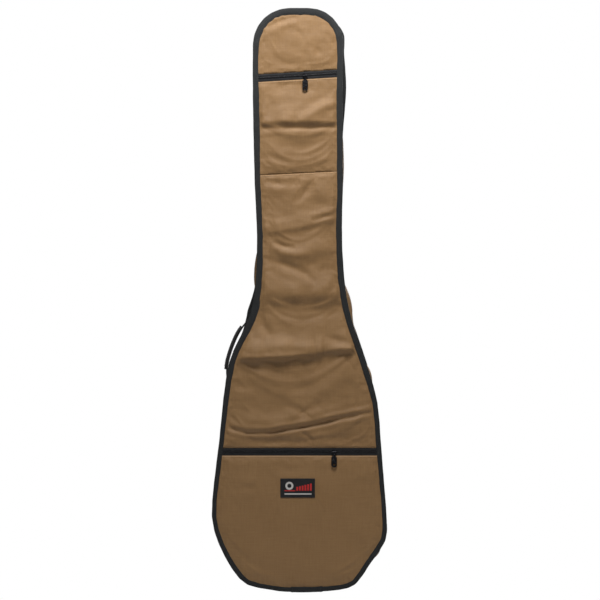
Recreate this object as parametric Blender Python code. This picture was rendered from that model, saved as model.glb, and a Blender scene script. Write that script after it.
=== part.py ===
"""A padded gig bag for an electric bass, hanging upright by the loop behind its head.

The front faces -Y, +Z is up and +X is to the right as the front is seen. The origin is the
point inside the hang loop where a hook carries the bag. Sizes below are in millimetres, in
the bag's own layout: x from the centre line, y from the middle of the depth, z from the top.
"""

import math

import bmesh
import bpy
from mathutils import Matrix, Vector

MM = 0.001

# Depth of the bag and its layers
HALF_DEPTH = 40.0
PANEL = 1.2
BACKING = 0.8
FOAM_DEPTH = 10.6
LINING = 1.0
GAP = 0.3
FLANGE = 1.2
BINDING_WIDTH = 12.5
BINDING_WALL = 1.0
SEAM_INSET = 1.3
WEB_OUT = 11.8
WEB_IN = 13.0
SIDE_FOAM_IN = 19.3
SIDE_LINING_IN = 20.6
BINDING_STEP = 2.0

# Main zip, in the side wall
ZIP_Y = -20.0
TAPE_REACH = 7.7
TAPE = 0.8
COIL_HALF = 2.7
COIL_HEIGHT = 2.0
TAPE_SINK = 0.1
COIL_STOP = 2.0

# Front outline: head corners as arcs, the flanks as smooth curves through a few stations
LEFT_HEAD = (-22.0, -78.0, 78.0)
RIGHT_HEAD = (20.0, -73.0, 73.0)
RIGHT_FLANK = [
    (92.0, -180.0), (93.0, -390.0), (90.0, -470.0), (96.0, -580.0), (107.0, -650.0),
    (126.0, -712.0), (148.0, -776.0), (167.0, -845.0), (174.0, -926.0), (181.0, -1015.0),
    (187.0, -1095.0), (184.0, -1142.0),
]
BOTTOM = [(152.0, -1190.0), (120.0, -1235.0), (84.0, -1247.0), (30.0, -1251.0), (-30.0, -1251.0)]
LEFT_FLANK = [
    (-60.0, -1247.0), (-112.0, -1236.0), (-144.0, -1203.0), (-174.0, -1146.0), (-188.0, -1090.0),
    (-183.0, -1015.0), (-172.0, -926.0), (-163.0, -835.0), (-151.0, -760.0), (-131.0, -712.0),
    (-108.0, -664.0), (-95.0, -600.0), (-91.0, -490.0), (-96.0, -380.0), (-100.0, -200.0),
]
ARC_STEPS = 7
CURVE_STEPS = 2

# Pockets on the front
HEAD_ZIP_Z = -144.6
HEAD_ZIP_X = 12.0
HEAD_ZIP_SLOPE = 0.061
NECK_SEAM_Z = -354.0
NECK_SEAM_SLOPE = 0.05
POCKET_ZIP_Z = -951.0
POCKET_ZIP_X = 74.0
FRONT_TAPE = 8.0
SEAM_FLANGE = 13.3
BACKING_LAP = 20.0
LABEL_LOW = (-41.0, -1049.0)
LABEL_HIGH = (33.0, -1008.0)
LABEL_RISE = 1.3

# Slider and its pull
PLATE = (9.6, 9.0, 1.2)
PLATE_BASE = 2.3
BAR_HEIGHT = 6.2
BAR_RADIUS = 0.8
FLANK = 1.0
POST_HALF = 0.6
POST_REACH = 3.6
WIRE = 0.7
LINK_ROUND = 1.7
LINK_LENGTH = 5.0
TAB_WIDTH = 12.0
TAB_LENGTH = 27.0
TAB_THICK = 1.2
TAB_NECK = 2.4
TAB_TOP = 2.6
TAB_NECK_LENGTH = 4.4
TAB_SHOULDER = 8.0
EYE_RADIUS = 1.4
HOLE_RADIUS = 2.2
CUTTER_DEPTH = 4.0
FLAT_TAB_LENGTH = 35.0
FLAT_EYE_HALF = 3.4
FLAT_EYE_END = 7.5
FLAT_BAR = 0.6
TAB_SLACK = 0.35

# Where the main zip stops, and the places of its two sliders
SPINE_TOP = -905.0
SPINE_BOTTOM = -1146.0
TOP_SLIDER_ANGLE = 41.0
SIDE_SLIDER_Z = -812.0

# Carried pieces
HANDLE_TOP = -668.0
HANDLE_FOOT = -803.0
HANDLE_WIDTH = 25.0
HANDLE_Y = 16.0
HANDLE_LIFT = 8.0
ANCHOR_LENGTH = 24.0
ANCHOR_THICK = 2.2
ANCHOR_CLEAR = 2.0
HANDLE_THICK = 3.0
HANDLE_RISE = [
    (0.0, 0.0), (0.06, 5.0), (0.16, 11.0), (0.3, 15.0), (0.5, 16.5), (0.7, 15.0), (0.84, 11.0),
    (0.94, 5.0), (1.0, 0.0),
]
GRIP_THICK = 3.6
GRIP_EXTRA = 4.0
LOOP_WIDTH = 25.0
LOOP_TOP = -14.0
LOOP_FOOT = -64.0
LOOP_REACH = 19.0
LOOP_THICK = 2.4
LOOP_PATCH = (22.0, -72.0, -20.0)
PATCH_THICK = 1.5

# Shoulder straps: routes as steps outwards from STRAP_X, off the back panel, and down from the top
STRAP_X = 46.0
PAD_ROUTE = [
    (0.0, 12.0, -352.0), (4.0, 15.0, -430.0), (10.0, 17.0, -530.0), (20.0, 16.0, -630.0),
    (30.0, 14.0, -716.0),
]
PAD_WIDTH = 58.0
PAD_THICK = 8.0
LOCK_STEP = 31.5
LOCK_TOP = -726.0
LOCK_HALF = 15.0
LOCK_LENGTH = 22.0
LOCK_DEPTH = (10.5, 16.0)
WEB_START = 0.6
WEB_ROUTE = [(8.0, 11.5, -830.0), (15.0, 8.0, -930.0), (17.0, 6.0, -962.0)]
WEB_LIFT = 12.5
WEB_WIDTH = 25.0
WEB_THICK = 1.6
FOOT_HALF = 17.0
FOOT_SPAN = (-1004.0, -962.6)
SEWN_THICK = 3.0
YOKE_HALF = 76.0
YOKE_SPAN = (-350.0, -318.0)

OFFSET = (0.0, -50.0, 16.8)

BROWN = (0.27, 0.165, 0.075)
BLACK = (0.018, 0.018, 0.02)
FOAM_GREY = (0.35, 0.35, 0.36)
DARK = (0.03, 0.03, 0.033)
METAL = (0.05, 0.05, 0.055)


def clear_scene():
    for obj in list(bpy.data.objects):
        bpy.data.objects.remove(obj, do_unlink=True)


def material_for(name, colour, roughness, metallic):
    made = bpy.data.materials.new(name)
    made.use_nodes = True
    shader = made.node_tree.nodes["Principled BSDF"]
    shader.inputs["Base Color"].default_value = (*colour, 1.0)
    shader.inputs["Roughness"].default_value = roughness
    shader.inputs["Metallic"].default_value = metallic
    return made


def smooth_curve(stations, steps):
    """Points on a smooth curve through the stations, steps points to each span."""
    found = []
    for i in range(1, len(stations) - 2):
        a, b, c, d = (Vector(stations[j]) for j in range(i - 1, i + 3))
        for step in range(steps):
            t = step / steps
            found.append(
                0.5 * ((2 * b) + (c - a) * t + (2 * a - 5 * b + 4 * c - d) * t**2
                       + (3 * b - a - 3 * c + d) * t**3)
            )
    return found


def arc(centre_x, centre_z, radius, start, end, steps):
    """Points on an arc, from the start angle to the end angle in degrees."""
    found = []
    for step in range(steps):
        angle = math.radians(start + (end - start) * step / (steps - 1))
        found.append(Vector((centre_x + radius * math.cos(angle), centre_z + radius * math.sin(angle))))
    return found


def bag_outline():
    """The front view's outer edge, clockwise as the front is seen, from the top middle."""
    right_arc = arc(*RIGHT_HEAD, 90.0, 0.0, ARC_STEPS)
    left_arc = arc(*LEFT_HEAD, 180.0, 90.0, ARC_STEPS)
    stations = [tuple(right_arc[-2]), tuple(right_arc[-1])] + RIGHT_FLANK + BOTTOM + LEFT_FLANK
    stations += [tuple(left_arc[0]), tuple(left_arc[1])]
    flanks = smooth_curve(stations, CURVE_STEPS)
    return right_arc[:-1] + flanks + left_arc


def inward_normals(points):
    """At each point, the step that moves both of its sides in by one unit."""
    found = []
    for i, here in enumerate(points):
        before = (here - points[i - 1]).normalized()
        after = (points[(i + 1) % len(points)] - here).normalized()
        normal_a = Vector((before.y, -before.x))
        normal_b = Vector((after.y, -after.x))
        total = normal_a + normal_b
        found.append(total / (1.0 + normal_a.dot(normal_b)))
    return found


OUTLINE = bag_outline()
NORMALS = inward_normals(OUTLINE)


def inset_outline(inset):
    return [p + n * inset for p, n in zip(OUTLINE, NORMALS)]


def keep_below(points, z, slope=0.0, at_x=0.0, side=1.0):
    """The part of a closed outline below the line through (at_x, z), or above it with side -1."""
    def height(p):
        return side * (p.y - z - slope * (p.x - at_x))

    found = []
    for i, here in enumerate(points):
        after = points[(i + 1) % len(points)]
        h, k = height(here), height(after)
        if h <= 0.0:
            found.append(here)
        if (h < 0.0 < k) or (k < 0.0 < h):
            found.append(here.lerp(after, h / (h - k)))
    return found


def keep_above(points, z, slope=0.0, at_x=0.0):
    return keep_below(points, z, slope, at_x, -1.0)


def place(obj, parent):
    bpy.context.scene.collection.objects.link(obj)
    obj.parent = parent
    return obj


def finish_piece(name, mesh, finish, parent, origin=(0.0, 0.0, 0.0), smooth=False):
    """Makes the object from a bmesh in layout millimetres, with its origin where it turns."""
    bmesh.ops.remove_doubles(mesh, verts=mesh.verts, dist=1e-4)
    bmesh.ops.recalc_face_normals(mesh, faces=mesh.faces)
    bmesh.ops.translate(mesh, verts=mesh.verts, vec=-Vector(origin))
    bmesh.ops.scale(mesh, verts=mesh.verts, vec=(MM, MM, MM))
    data = bpy.data.meshes.new(name)
    mesh.to_mesh(data)
    mesh.free()
    if smooth:
        data.shade_smooth()
        data.set_sharp_from_angle(angle=math.radians(35.0))
    data.materials.append(material_for(name, *finish))
    obj = place(bpy.data.objects.new(name, data), parent)
    obj.location = Vector(origin) * MM
    return obj


def plate_mesh(points, y0, y1):
    """A flat plate with the given front outline, between two depths."""
    mesh = bmesh.new()
    front = [mesh.verts.new((p.x, y0, p.y)) for p in points]
    back = [mesh.verts.new((p.x, y1, p.y)) for p in points]
    mesh.faces.new(front)
    mesh.faces.new(list(reversed(back)))
    for i, _ in enumerate(points):
        j = (i + 1) % len(points)
        mesh.faces.new((front[j], front[i], back[i], back[j]))
    return mesh


def skin_rows(mesh, rows, closed):
    """Joins rows of section vertices into one closed body: a ring, or a bar with end faces."""
    sides = len(rows[0])
    spans = len(rows) if closed else len(rows) - 1
    for i in range(spans):
        row, after = rows[i], rows[(i + 1) % len(rows)]
        for k in range(sides):
            m = (k + 1) % sides
            mesh.faces.new((row[k], row[m], after[m], after[k]))
    if not closed:
        mesh.faces.new(rows[0])
        mesh.faces.new(list(reversed(rows[-1])))


def ring_mesh(section, path=None):
    """Sweeps a section of (inset, y) corners round the outline, or along part of it."""
    mesh = bmesh.new()
    indices = range(len(OUTLINE)) if path is None else path
    rows = []
    for i in indices:
        rows.append([
            mesh.verts.new((OUTLINE[i].x + NORMALS[i].x * u, y, OUTLINE[i].y + NORMALS[i].y * u))
            for u, y in section
        ])
    skin_rows(mesh, rows, path is None)
    return mesh


def strip_mesh(centres, width_axis, width, thick):
    """A webbing strip along a line of points, as wide as width along width_axis."""
    mesh = bmesh.new()
    points = [Vector(c) for c in centres]
    across = Vector(width_axis).normalized() * (width / 2)
    rows = []
    for i, here in enumerate(points):
        before = points[max(i - 1, 0)]
        after = points[min(i + 1, len(points) - 1)]
        up = (after - before).normalized().cross(across).normalized() * (thick / 2)
        rows.append([mesh.verts.new(here + a * across + b * up) for a, b in
                     ((-1, -1), (1, -1), (1, 1), (-1, 1))])
    skin_rows(mesh, rows, False)
    return mesh


def box_mesh(low, high, mesh=None):
    mesh = mesh or bmesh.new()
    size = Vector(high) - Vector(low)
    middle = (Vector(high) + Vector(low)) / 2
    matrix = Matrix.Translation(middle) @ Matrix.Diagonal((*size, 1.0))
    bmesh.ops.create_cube(mesh, size=1.0, matrix=matrix)
    return mesh


def join_shapes(name, shapes, finish, parent, origin=(0.0, 0.0, 0.0), smooth=False):
    """Joins overlapping shapes into one body, each by an exact Boolean union."""
    obj = finish_piece(name, shapes[0], finish, parent, origin, smooth)
    for number, shape in enumerate(shapes[1:]):
        add_boolean(obj, shape, "UNION", f"{name}_add_{number}", finish, parent, origin)
    return obj


def add_boolean(obj, shape, operation, name, finish, parent, origin):
    tool = finish_piece(name, shape, finish, parent, origin)
    tool.hide_render = True
    tool.display_type = "WIRE"
    step = obj.modifiers.new(name, "BOOLEAN")
    step.object = tool
    step.operation = operation
    step.solver = "EXACT"


FABRIC = (BROWN, 0.9, 0.0)
LINING_FINISH = (DARK, 0.9, 0.0)
FOAM_FINISH = (FOAM_GREY, 0.95, 0.0)
WEBBING = (BLACK, 0.85, 0.0)
PLASTIC = (BLACK, 0.45, 0.0)
METAL_FINISH = (METAL, 0.4, 0.8)


def run_between(z_top, z_bottom, side):
    """Outline indices on one side between two heights, in the outline's order."""
    return [
        i for i, p in enumerate(OUTLINE)
        if side * p.x > 60.0 and z_bottom <= p.y <= z_top
    ]


def zip_run():
    """Outline indices along the main zip: all but the hinge strip's stretch on the left."""
    spine = run_between(SPINE_TOP, SPINE_BOTTOM, -1)
    after = [i for i in range(spine[-1], len(OUTLINE))]
    before = [i for i in range(spine[0] + 1)]
    return after + before, spine


def shell_half(side, parent, names):
    """The foam, lining, gusset strip and binding of one half: side -1 is the front, 1 the back."""
    face = side * HALF_DEPTH
    stack = PANEL + GAP + (BACKING + GAP if side < 0 else 0.0)
    flange_out = face - side * stack
    flange_in = flange_out - side * FLANGE
    leg_in = flange_in - side * GAP
    leg_end = leg_in - side * BINDING_WALL
    zip_side = ZIP_Y + side * GAP
    web_end = ZIP_Y + side * (TAPE_REACH + GAP)
    foam_out = flange_out
    foam_in = face - side * FOAM_DEPTH
    lining_out = foam_in - side * GAP
    lining_in = lining_out - side * LINING
    core = inset_outline(SEAM_FLANGE)
    finish_piece(names + "_foam", plate_mesh(core, foam_out, foam_in), FOAM_FINISH, parent)
    inner = inset_outline(SIDE_LINING_IN + GAP)
    finish_piece(names + "_lining", plate_mesh(inner, lining_out, lining_in), LINING_FINISH, parent)
    gusset = [(SEAM_INSET, flange_out), (WEB_IN, flange_out), (WEB_IN, web_end),
              (WEB_OUT, web_end), (WEB_OUT, flange_in), (SEAM_INSET, flange_in)]
    finish_piece(names + "_gusset", ring_mesh(gusset), FABRIC, parent)
    side_foam = [(SEAM_FLANGE, lining_out), (SIDE_FOAM_IN, lining_out),
                 (SIDE_FOAM_IN, zip_side), (SEAM_FLANGE, zip_side)]
    finish_piece(names + "_gusset_foam", ring_mesh(side_foam), FOAM_FINISH, parent)
    side_lining = [(SIDE_FOAM_IN + GAP, lining_out), (SIDE_LINING_IN, lining_out),
                   (SIDE_LINING_IN, zip_side), (SIDE_FOAM_IN + GAP, zip_side)]
    finish_piece(names + "_gusset_lining", ring_mesh(side_lining), LINING_FINISH, parent)
    lip = face + side * GAP
    top = lip + side * BINDING_WALL
    leg_reach = BINDING_WIDTH - BINDING_STEP
    binding = [(0.0, top), (BINDING_WIDTH, top), (BINDING_WIDTH, lip), (BINDING_WALL, lip),
               (BINDING_WALL, leg_in), (leg_reach, leg_in), (leg_reach, leg_end),
               (0.0, leg_end)]
    finish_piece(names + "_binding", ring_mesh(binding), WEBBING, parent)
    run, _ = zip_run()
    tape = [(WEB_OUT, ZIP_Y + side * TAPE_REACH), (WEB_OUT + TAPE, ZIP_Y + side * TAPE_REACH),
            (WEB_OUT + TAPE, zip_side), (WEB_OUT, zip_side)]
    finish_piece("main_zip_tape_" + names, ring_mesh(tape, run), WEBBING, parent)
    coil_top = WEB_OUT - COIL_HEIGHT
    coil = [(WEB_OUT - GAP, ZIP_Y + side * COIL_HALF), (WEB_OUT - GAP, zip_side),
            (coil_top, zip_side), (coil_top, ZIP_Y + side * COIL_HALF)]
    finish_piece("main_zip_coil_" + names, ring_mesh(coil, run), PLASTIC, parent)


def make_spine(parent):
    """The fabric strip that the lid hinges on, where the main zip stops."""
    _, spine = zip_run()
    strip = [(WEB_OUT, ZIP_Y - TAPE_REACH), (WEB_OUT + TAPE, ZIP_Y - TAPE_REACH),
             (WEB_OUT + TAPE, ZIP_Y + TAPE_REACH), (WEB_OUT, ZIP_Y + TAPE_REACH)]
    obj = finish_piece("spine_hinge", ring_mesh(strip, spine), FABRIC, parent)
    obj.data.shade_flat()
    return obj


def make_front_panels(parent):
    """The four front panels, the pocket backings and the label."""
    edge = inset_outline(SEAM_INSET)
    y0, y1 = -HALF_DEPTH, -HALF_DEPTH + PANEL
    head_line = (HEAD_ZIP_SLOPE, HEAD_ZIP_X)
    head = keep_above(edge, HEAD_ZIP_Z + FRONT_TAPE, *head_line)
    finish_piece("head_panel", plate_mesh(head, y0, y1), FABRIC, parent)
    pocket = keep_below(edge, HEAD_ZIP_Z - FRONT_TAPE, *head_line)
    pocket = keep_above(pocket, NECK_SEAM_Z + GAP / 2, NECK_SEAM_SLOPE)
    finish_piece("upper_pocket_panel", plate_mesh(pocket, y0, y1), FABRIC, parent)
    body = keep_below(edge, NECK_SEAM_Z - GAP / 2, NECK_SEAM_SLOPE)
    body = keep_above(body, POCKET_ZIP_Z + FRONT_TAPE)
    finish_piece("body_panel", plate_mesh(body, y0, y1), FABRIC, parent)
    lower = keep_below(edge, POCKET_ZIP_Z - FRONT_TAPE)
    finish_piece("lower_pocket_panel", plate_mesh(lower, y0, y1), FABRIC, parent)
    y0, y1 = y1 + GAP, y1 + GAP + BACKING
    upper = keep_below(edge, HEAD_ZIP_Z + BACKING_LAP, *head_line)
    upper = keep_above(upper, NECK_SEAM_Z)
    finish_piece("upper_pocket_backing", plate_mesh(upper, y0, y1), LINING_FINISH, parent)
    lower = keep_below(edge, POCKET_ZIP_Z + BACKING_LAP)
    finish_piece("lower_pocket_backing", plate_mesh(lower, y0, y1), LINING_FINISH, parent)
    low = (LABEL_LOW[0], -HALF_DEPTH - LABEL_RISE, LABEL_LOW[1])
    high = (LABEL_HIGH[0], -HALF_DEPTH - GAP, LABEL_HIGH[1])
    finish_piece("label_patch", box_mesh(low, high), WEBBING, parent)


def front_zip(name, middle_x, middle_z, slope, parent):
    """The two tapes and the coil of a straight zip across the front."""
    edge = inset_outline(SEAM_INSET)
    y0 = -HALF_DEPTH + TAPE_SINK
    y1 = y0 + TAPE
    line = (slope, middle_x)
    upper = keep_above(keep_below(edge, middle_z + FRONT_TAPE - GAP, *line), middle_z + GAP / 2, *line)
    lower = keep_above(keep_below(edge, middle_z - GAP / 2, *line), middle_z - FRONT_TAPE + GAP, *line)
    finish_piece(name + "_tape_upper", plate_mesh(upper, y0, y1), WEBBING, parent)
    finish_piece(name + "_tape_lower", plate_mesh(lower, y0, y1), WEBBING, parent)
    inner = inset_outline(BINDING_WIDTH + COIL_STOP)
    coil = keep_above(keep_below(inner, middle_z + COIL_HALF, *line), middle_z - COIL_HALF, *line)
    finish_piece(name + "_coil", plate_mesh(coil, y0 - COIL_HEIGHT, y0 - GAP),
                 PLASTIC, parent)


def slider_frame(name, parent, origin, along, out):
    """A parent empty: its X runs along the track, its Z stands out of the tape."""
    along, out = Vector(along).normalized(), Vector(out).normalized()
    across = out.cross(along)
    empty = place(bpy.data.objects.new(name, None), parent)
    turn = Matrix((along, across, out)).transposed().to_4x4()
    empty.matrix_local = Matrix.Translation(Vector(origin) * MM) @ turn
    return empty


def make_slider(name, frame, both_flanks):
    """A slider: a plate over the coil with flanks beside it and an arch for the pull."""
    length, width, thick = PLATE
    top = PLATE_BASE + thick
    shapes = [box_mesh((-length / 2, -width / 2, PLATE_BASE), (length / 2, width / 2, top))]
    flanks = (-1, 1) if both_flanks else (1,)
    for flank in flanks:
        edges = sorted((flank * (width / 2 - FLANK), flank * width / 2))
        shapes.append(box_mesh((-length / 2, edges[0], GAP), (length / 2, edges[1], top)))
    for end in (-1, 1):
        edges = sorted((end * (POST_REACH - POST_HALF), end * (POST_REACH + POST_HALF)))
        shapes.append(box_mesh((edges[0], -BAR_RADIUS, top - 0.2), (edges[1], BAR_RADIUS, BAR_HEIGHT)))
    bar = bmesh.new()
    turn = Matrix.Translation((0.0, 0.0, BAR_HEIGHT)) @ Matrix.Rotation(math.pi / 2, 4, "Y")
    bmesh.ops.create_cone(bar, cap_ends=True, segments=10, radius1=BAR_RADIUS, radius2=BAR_RADIUS,
                          depth=2 * (POST_REACH + POST_HALF), matrix=turn)
    shapes.append(bar)
    return join_shapes(name, shapes, METAL_FINISH, frame)


def tube_ring(path, radius, sides=6):
    """A round wire along a closed path of points in one plane."""
    mesh = bmesh.new()
    points = [Vector(p) for p in path]
    centre = sum(points, Vector()) / len(points)
    plane = (points[0] - centre).cross(points[1] - centre).normalized()
    rows = []
    for i, here in enumerate(points):
        ahead = (points[(i + 1) % len(points)] - points[i - 1]).normalized()
        out = ahead.cross(plane)
        row = []
        for k in range(sides):
            angle = 2 * math.pi * k / sides
            row.append(mesh.verts.new(here + radius * (math.cos(angle) * out + math.sin(angle) * plane)))
        rows.append(row)
    skin_rows(mesh, rows, True)
    return mesh


def tab_shape(width, top, length, thick):
    """A pull tab's outline with a round foot, as a plate in the X-Z plane hanging to -Z."""
    half = width / 2
    foot = [Vector((x, z)) for x, z in arc(0.0, -length + half, half, 0.0, -180.0, 9)]
    bend, shoulder = top - TAB_NECK_LENGTH, top - TAB_SHOULDER
    points = [Vector((TAB_NECK, top)), Vector((TAB_NECK, bend)), Vector((half, shoulder))]
    points += foot
    points += [Vector((-half, shoulder)), Vector((-TAB_NECK, bend)), Vector((-TAB_NECK, top))]
    return plate_mesh(points, -thick / 2, thick / 2)


def drill(radius, centre, axis, depth, sides=12):
    """A round cutter along Y or Z."""
    mesh = bmesh.new()
    turn = Matrix.Rotation(math.pi / 2, 4, "X") if axis == "Y" else Matrix.Identity(4)
    bmesh.ops.create_cone(mesh, cap_ends=True, segments=sides, radius1=radius, radius2=radius,
                          depth=depth, matrix=Matrix.Translation(centre) @ turn)
    return mesh


def hanging_pull(name, bag, x, y, z):
    """A wire link round the slider's arch, and the tab that hangs on it; both hang straight down."""
    bar = (x, y, z)
    lower = z - LINK_LENGTH
    loop = [(x, y + p.x, z + p.y) for p in arc(0.0, 0.0, LINK_ROUND, 180.0, 0.0, 6)]
    loop += [(x, y + p.x, lower + p.y) for p in arc(0.0, 0.0, LINK_ROUND, 0.0, -180.0, 6)]
    finish_piece(name + "_link", tube_ring(loop, WIRE), METAL_FINISH, bag, bar, smooth=True)
    eye = (x, y, lower - LINK_ROUND)
    tab = tab_shape(TAB_WIDTH, TAB_TOP, TAB_LENGTH, TAB_THICK)
    bmesh.ops.translate(tab, verts=tab.verts, vec=eye)
    obj = finish_piece(name + "_tab", tab, METAL_FINISH, bag, eye)
    hole = drill(EYE_RADIUS, eye, "Y", CUTTER_DEPTH)
    add_boolean(obj, hole, "DIFFERENCE", name + "_eye", METAL_FINISH, bag, eye)
    foot = Vector(eye) + Vector((0.0, 0.0, -TAB_LENGTH + TAB_WIDTH / 2))
    hole = drill(HOLE_RADIUS, foot, "Y", CUTTER_DEPTH)
    add_boolean(obj, hole, "DIFFERENCE", name + "_hole", METAL_FINISH, bag, eye)


def flat_pull(name, frame):
    """A one-piece tab whose eye passes under the slider's arch; it lies along the track."""
    length = FLAT_TAB_LENGTH
    half = TAB_WIDTH / 2
    corner = half - 1.0
    points = [Vector((-FLAT_BAR, corner)), Vector((-FLAT_BAR, -corner)), Vector((1.0 - FLAT_BAR, -half))]
    points += [Vector((length - half + p.x, p.y)) for p in arc(0.0, 0.0, half, -90.0, 90.0, 7)]
    points += [Vector((1.0 - FLAT_BAR, half))]
    plate = plate_mesh(points, -TAB_THICK / 2, TAB_THICK / 2)
    bmesh.ops.rotate(plate, verts=plate.verts, cent=(0, 0, 0), matrix=Matrix.Rotation(math.pi / 2, 3, "X"))
    lift = BAR_HEIGHT - BAR_RADIUS - TAB_THICK / 2 - TAB_SLACK
    bmesh.ops.translate(plate, verts=plate.verts, vec=(0.0, 0.0, lift))
    pivot = (0.0, 0.0, lift)
    obj = finish_piece(name + "_tab", plate, METAL_FINISH, frame, pivot)
    eye = box_mesh((FLAT_BAR, -FLAT_EYE_HALF, lift - CUTTER_DEPTH / 2),
                   (FLAT_EYE_END, FLAT_EYE_HALF, lift + CUTTER_DEPTH / 2))
    add_boolean(obj, eye, "DIFFERENCE", name + "_eye", METAL_FINISH, frame, pivot)
    foot = drill(HOLE_RADIUS, (length - half, 0.0, lift), "Z", CUTTER_DEPTH)
    add_boolean(obj, foot, "DIFFERENCE", name + "_hole", METAL_FINISH, frame, pivot)


def make_front_slider(name, bag, x, z, slope):
    surface = -HALF_DEPTH + TAPE_SINK
    frame = slider_frame(name + "_frame", bag, (x, surface, z), (1.0, 0.0, slope), (0.0, -1.0, 0.0))
    make_slider(name + "_slider", frame, True)
    hanging_pull(name, bag, x, surface - BAR_HEIGHT, z)


def flank_point(side, z, inset=WEB_OUT):
    """Where a flank's side wall is at a height, and its downward direction."""
    wall = inset_outline(inset)
    run = run_between(z + 60.0, z - 60.0, side)[::side]
    for i, j in zip(run, run[1:]):
        a, b = wall[i], wall[j]
        if a.y >= z >= b.y:
            return a.lerp(b, (a.y - z) / (a.y - b.y)), (b - a).normalized()
    raise ValueError("no flank at this height")


def make_main_sliders(bag):
    """One slider on the head's right corner and one on the right shoulder."""
    centre_x, centre_z, radius = RIGHT_HEAD
    angle = math.radians(TOP_SLIDER_ANGLE)
    out = Vector((math.cos(angle), 0.0, math.sin(angle)))
    down = Vector((math.sin(angle), 0.0, -math.cos(angle)))
    place_at = Vector((centre_x, ZIP_Y, centre_z)) + out * (radius - WEB_OUT + TAPE_SINK)
    frame = slider_frame("top_zip_frame", bag, place_at, down, out)
    make_slider("top_zip_slider", frame, False)
    flat_pull("top_zip", frame)
    spot, run = flank_point(1, SIDE_SLIDER_Z)
    down = Vector((run.x, 0.0, run.y))
    out = Vector((-run.y, 0.0, run.x))
    frame = slider_frame("side_zip_frame", bag, Vector((spot.x, ZIP_Y, spot.y)) + out * TAPE_SINK, down, out)
    make_slider("side_zip_slider", frame, False)
    flat_pull("side_zip", frame)


def handle_anchor(name, z_top, z_foot, parent):
    """A flat tab sewn to the side wall, following it."""
    mesh = bmesh.new()
    rows = []
    y0, y1 = HANDLE_Y - HANDLE_WIDTH / 2, HANDLE_Y + HANDLE_WIDTH / 2
    for z in (z_top, (z_top + z_foot) / 2, z_foot):
        low, _ = flank_point(-1, z, WEB_OUT - GAP)
        high, _ = flank_point(-1, z, WEB_OUT - GAP - ANCHOR_THICK)
        rows.append([mesh.verts.new(p) for p in
                     ((low.x, y0, low.y), (low.x, y1, low.y), (high.x, y1, high.y), (high.x, y0, high.y))])
    skin_rows(mesh, rows, False)
    finish_piece(name, mesh, WEBBING, parent)


def make_handle(parent):
    """The carry handle on the left flank, bowed out of the side wall, and its two anchor tabs."""
    top, foot = (Vector((p.x, HANDLE_Y, p.y)) for p, _ in
                 (flank_point(-1, HANDLE_TOP), flank_point(-1, HANDLE_FOOT)))
    along = (foot - top).normalized()
    out = Vector((along.z, 0.0, -along.x))
    length = (foot - top).length
    pivot = (top + foot) / 2 + out * HANDLE_LIFT
    line = [top + along * (t * length) + out * (HANDLE_LIFT + r) for t, r in HANDLE_RISE]
    web = strip_mesh(line, (0.0, 1.0, 0.0), HANDLE_WIDTH, HANDLE_THICK)
    finish_piece("side_handle_webbing", web, WEBBING, parent, pivot)
    grip = [p + out * GRIP_THICK for p in line[2:7]]
    wrap = strip_mesh(grip, (0.0, 1.0, 0.0), HANDLE_WIDTH + GRIP_EXTRA, GRIP_THICK)
    finish_piece("side_handle_grip", wrap, PLASTIC, parent, pivot)
    handle_anchor("handle_anchor_upper", HANDLE_TOP + ANCHOR_LENGTH, HANDLE_TOP + ANCHOR_CLEAR, parent)
    handle_anchor("handle_anchor_lower", HANDLE_FOOT - ANCHOR_CLEAR, HANDLE_FOOT - ANCHOR_LENGTH, parent)


def make_hang_loop(parent):
    """The webbing loop behind the head that carries the bag, and its stitched patch."""
    back = HALF_DEPTH
    half, foot, top = LOOP_PATCH
    patch = box_mesh((-half, back + GAP, foot), (half, back + PATCH_THICK, top))
    finish_piece("hang_loop_patch", patch, WEBBING, parent)
    low_y, high_y = back + PATCH_THICK + GAP, back + LOOP_REACH
    bow_z = LOOP_FOOT + 18.0
    outer = [(low_y, LOOP_FOOT), (low_y, LOOP_TOP - 5.0), (low_y + 4.0, LOOP_TOP), (high_y - 6.0, LOOP_TOP),
             (high_y, LOOP_TOP - 8.0), (high_y - 3.0, bow_z), (low_y + 5.0, LOOP_FOOT)]
    near_y, far_y, roof_z = low_y + LOOP_THICK, high_y - LOOP_THICK, LOOP_TOP - LOOP_THICK
    inner = [(near_y, LOOP_FOOT + 3.0), (near_y, LOOP_TOP - 6.0), (low_y + 5.0, roof_z),
             (high_y - 7.0, roof_z), (far_y, LOOP_TOP - 9.0), (far_y - 3.0, bow_z),
             (near_y + 2.0, LOOP_FOOT + 3.0)]
    mesh = bmesh.new()
    half = LOOP_WIDTH / 2
    rows = []
    for (ay, az), (by, bz) in zip(outer, inner):
        rows.append([mesh.verts.new(p) for p in
                     ((-half, ay, az), (half, ay, az), (half, by, bz), (-half, by, bz))])
    skin_rows(mesh, rows, True)
    finish_piece("hang_loop", mesh, WEBBING, parent)


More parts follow.
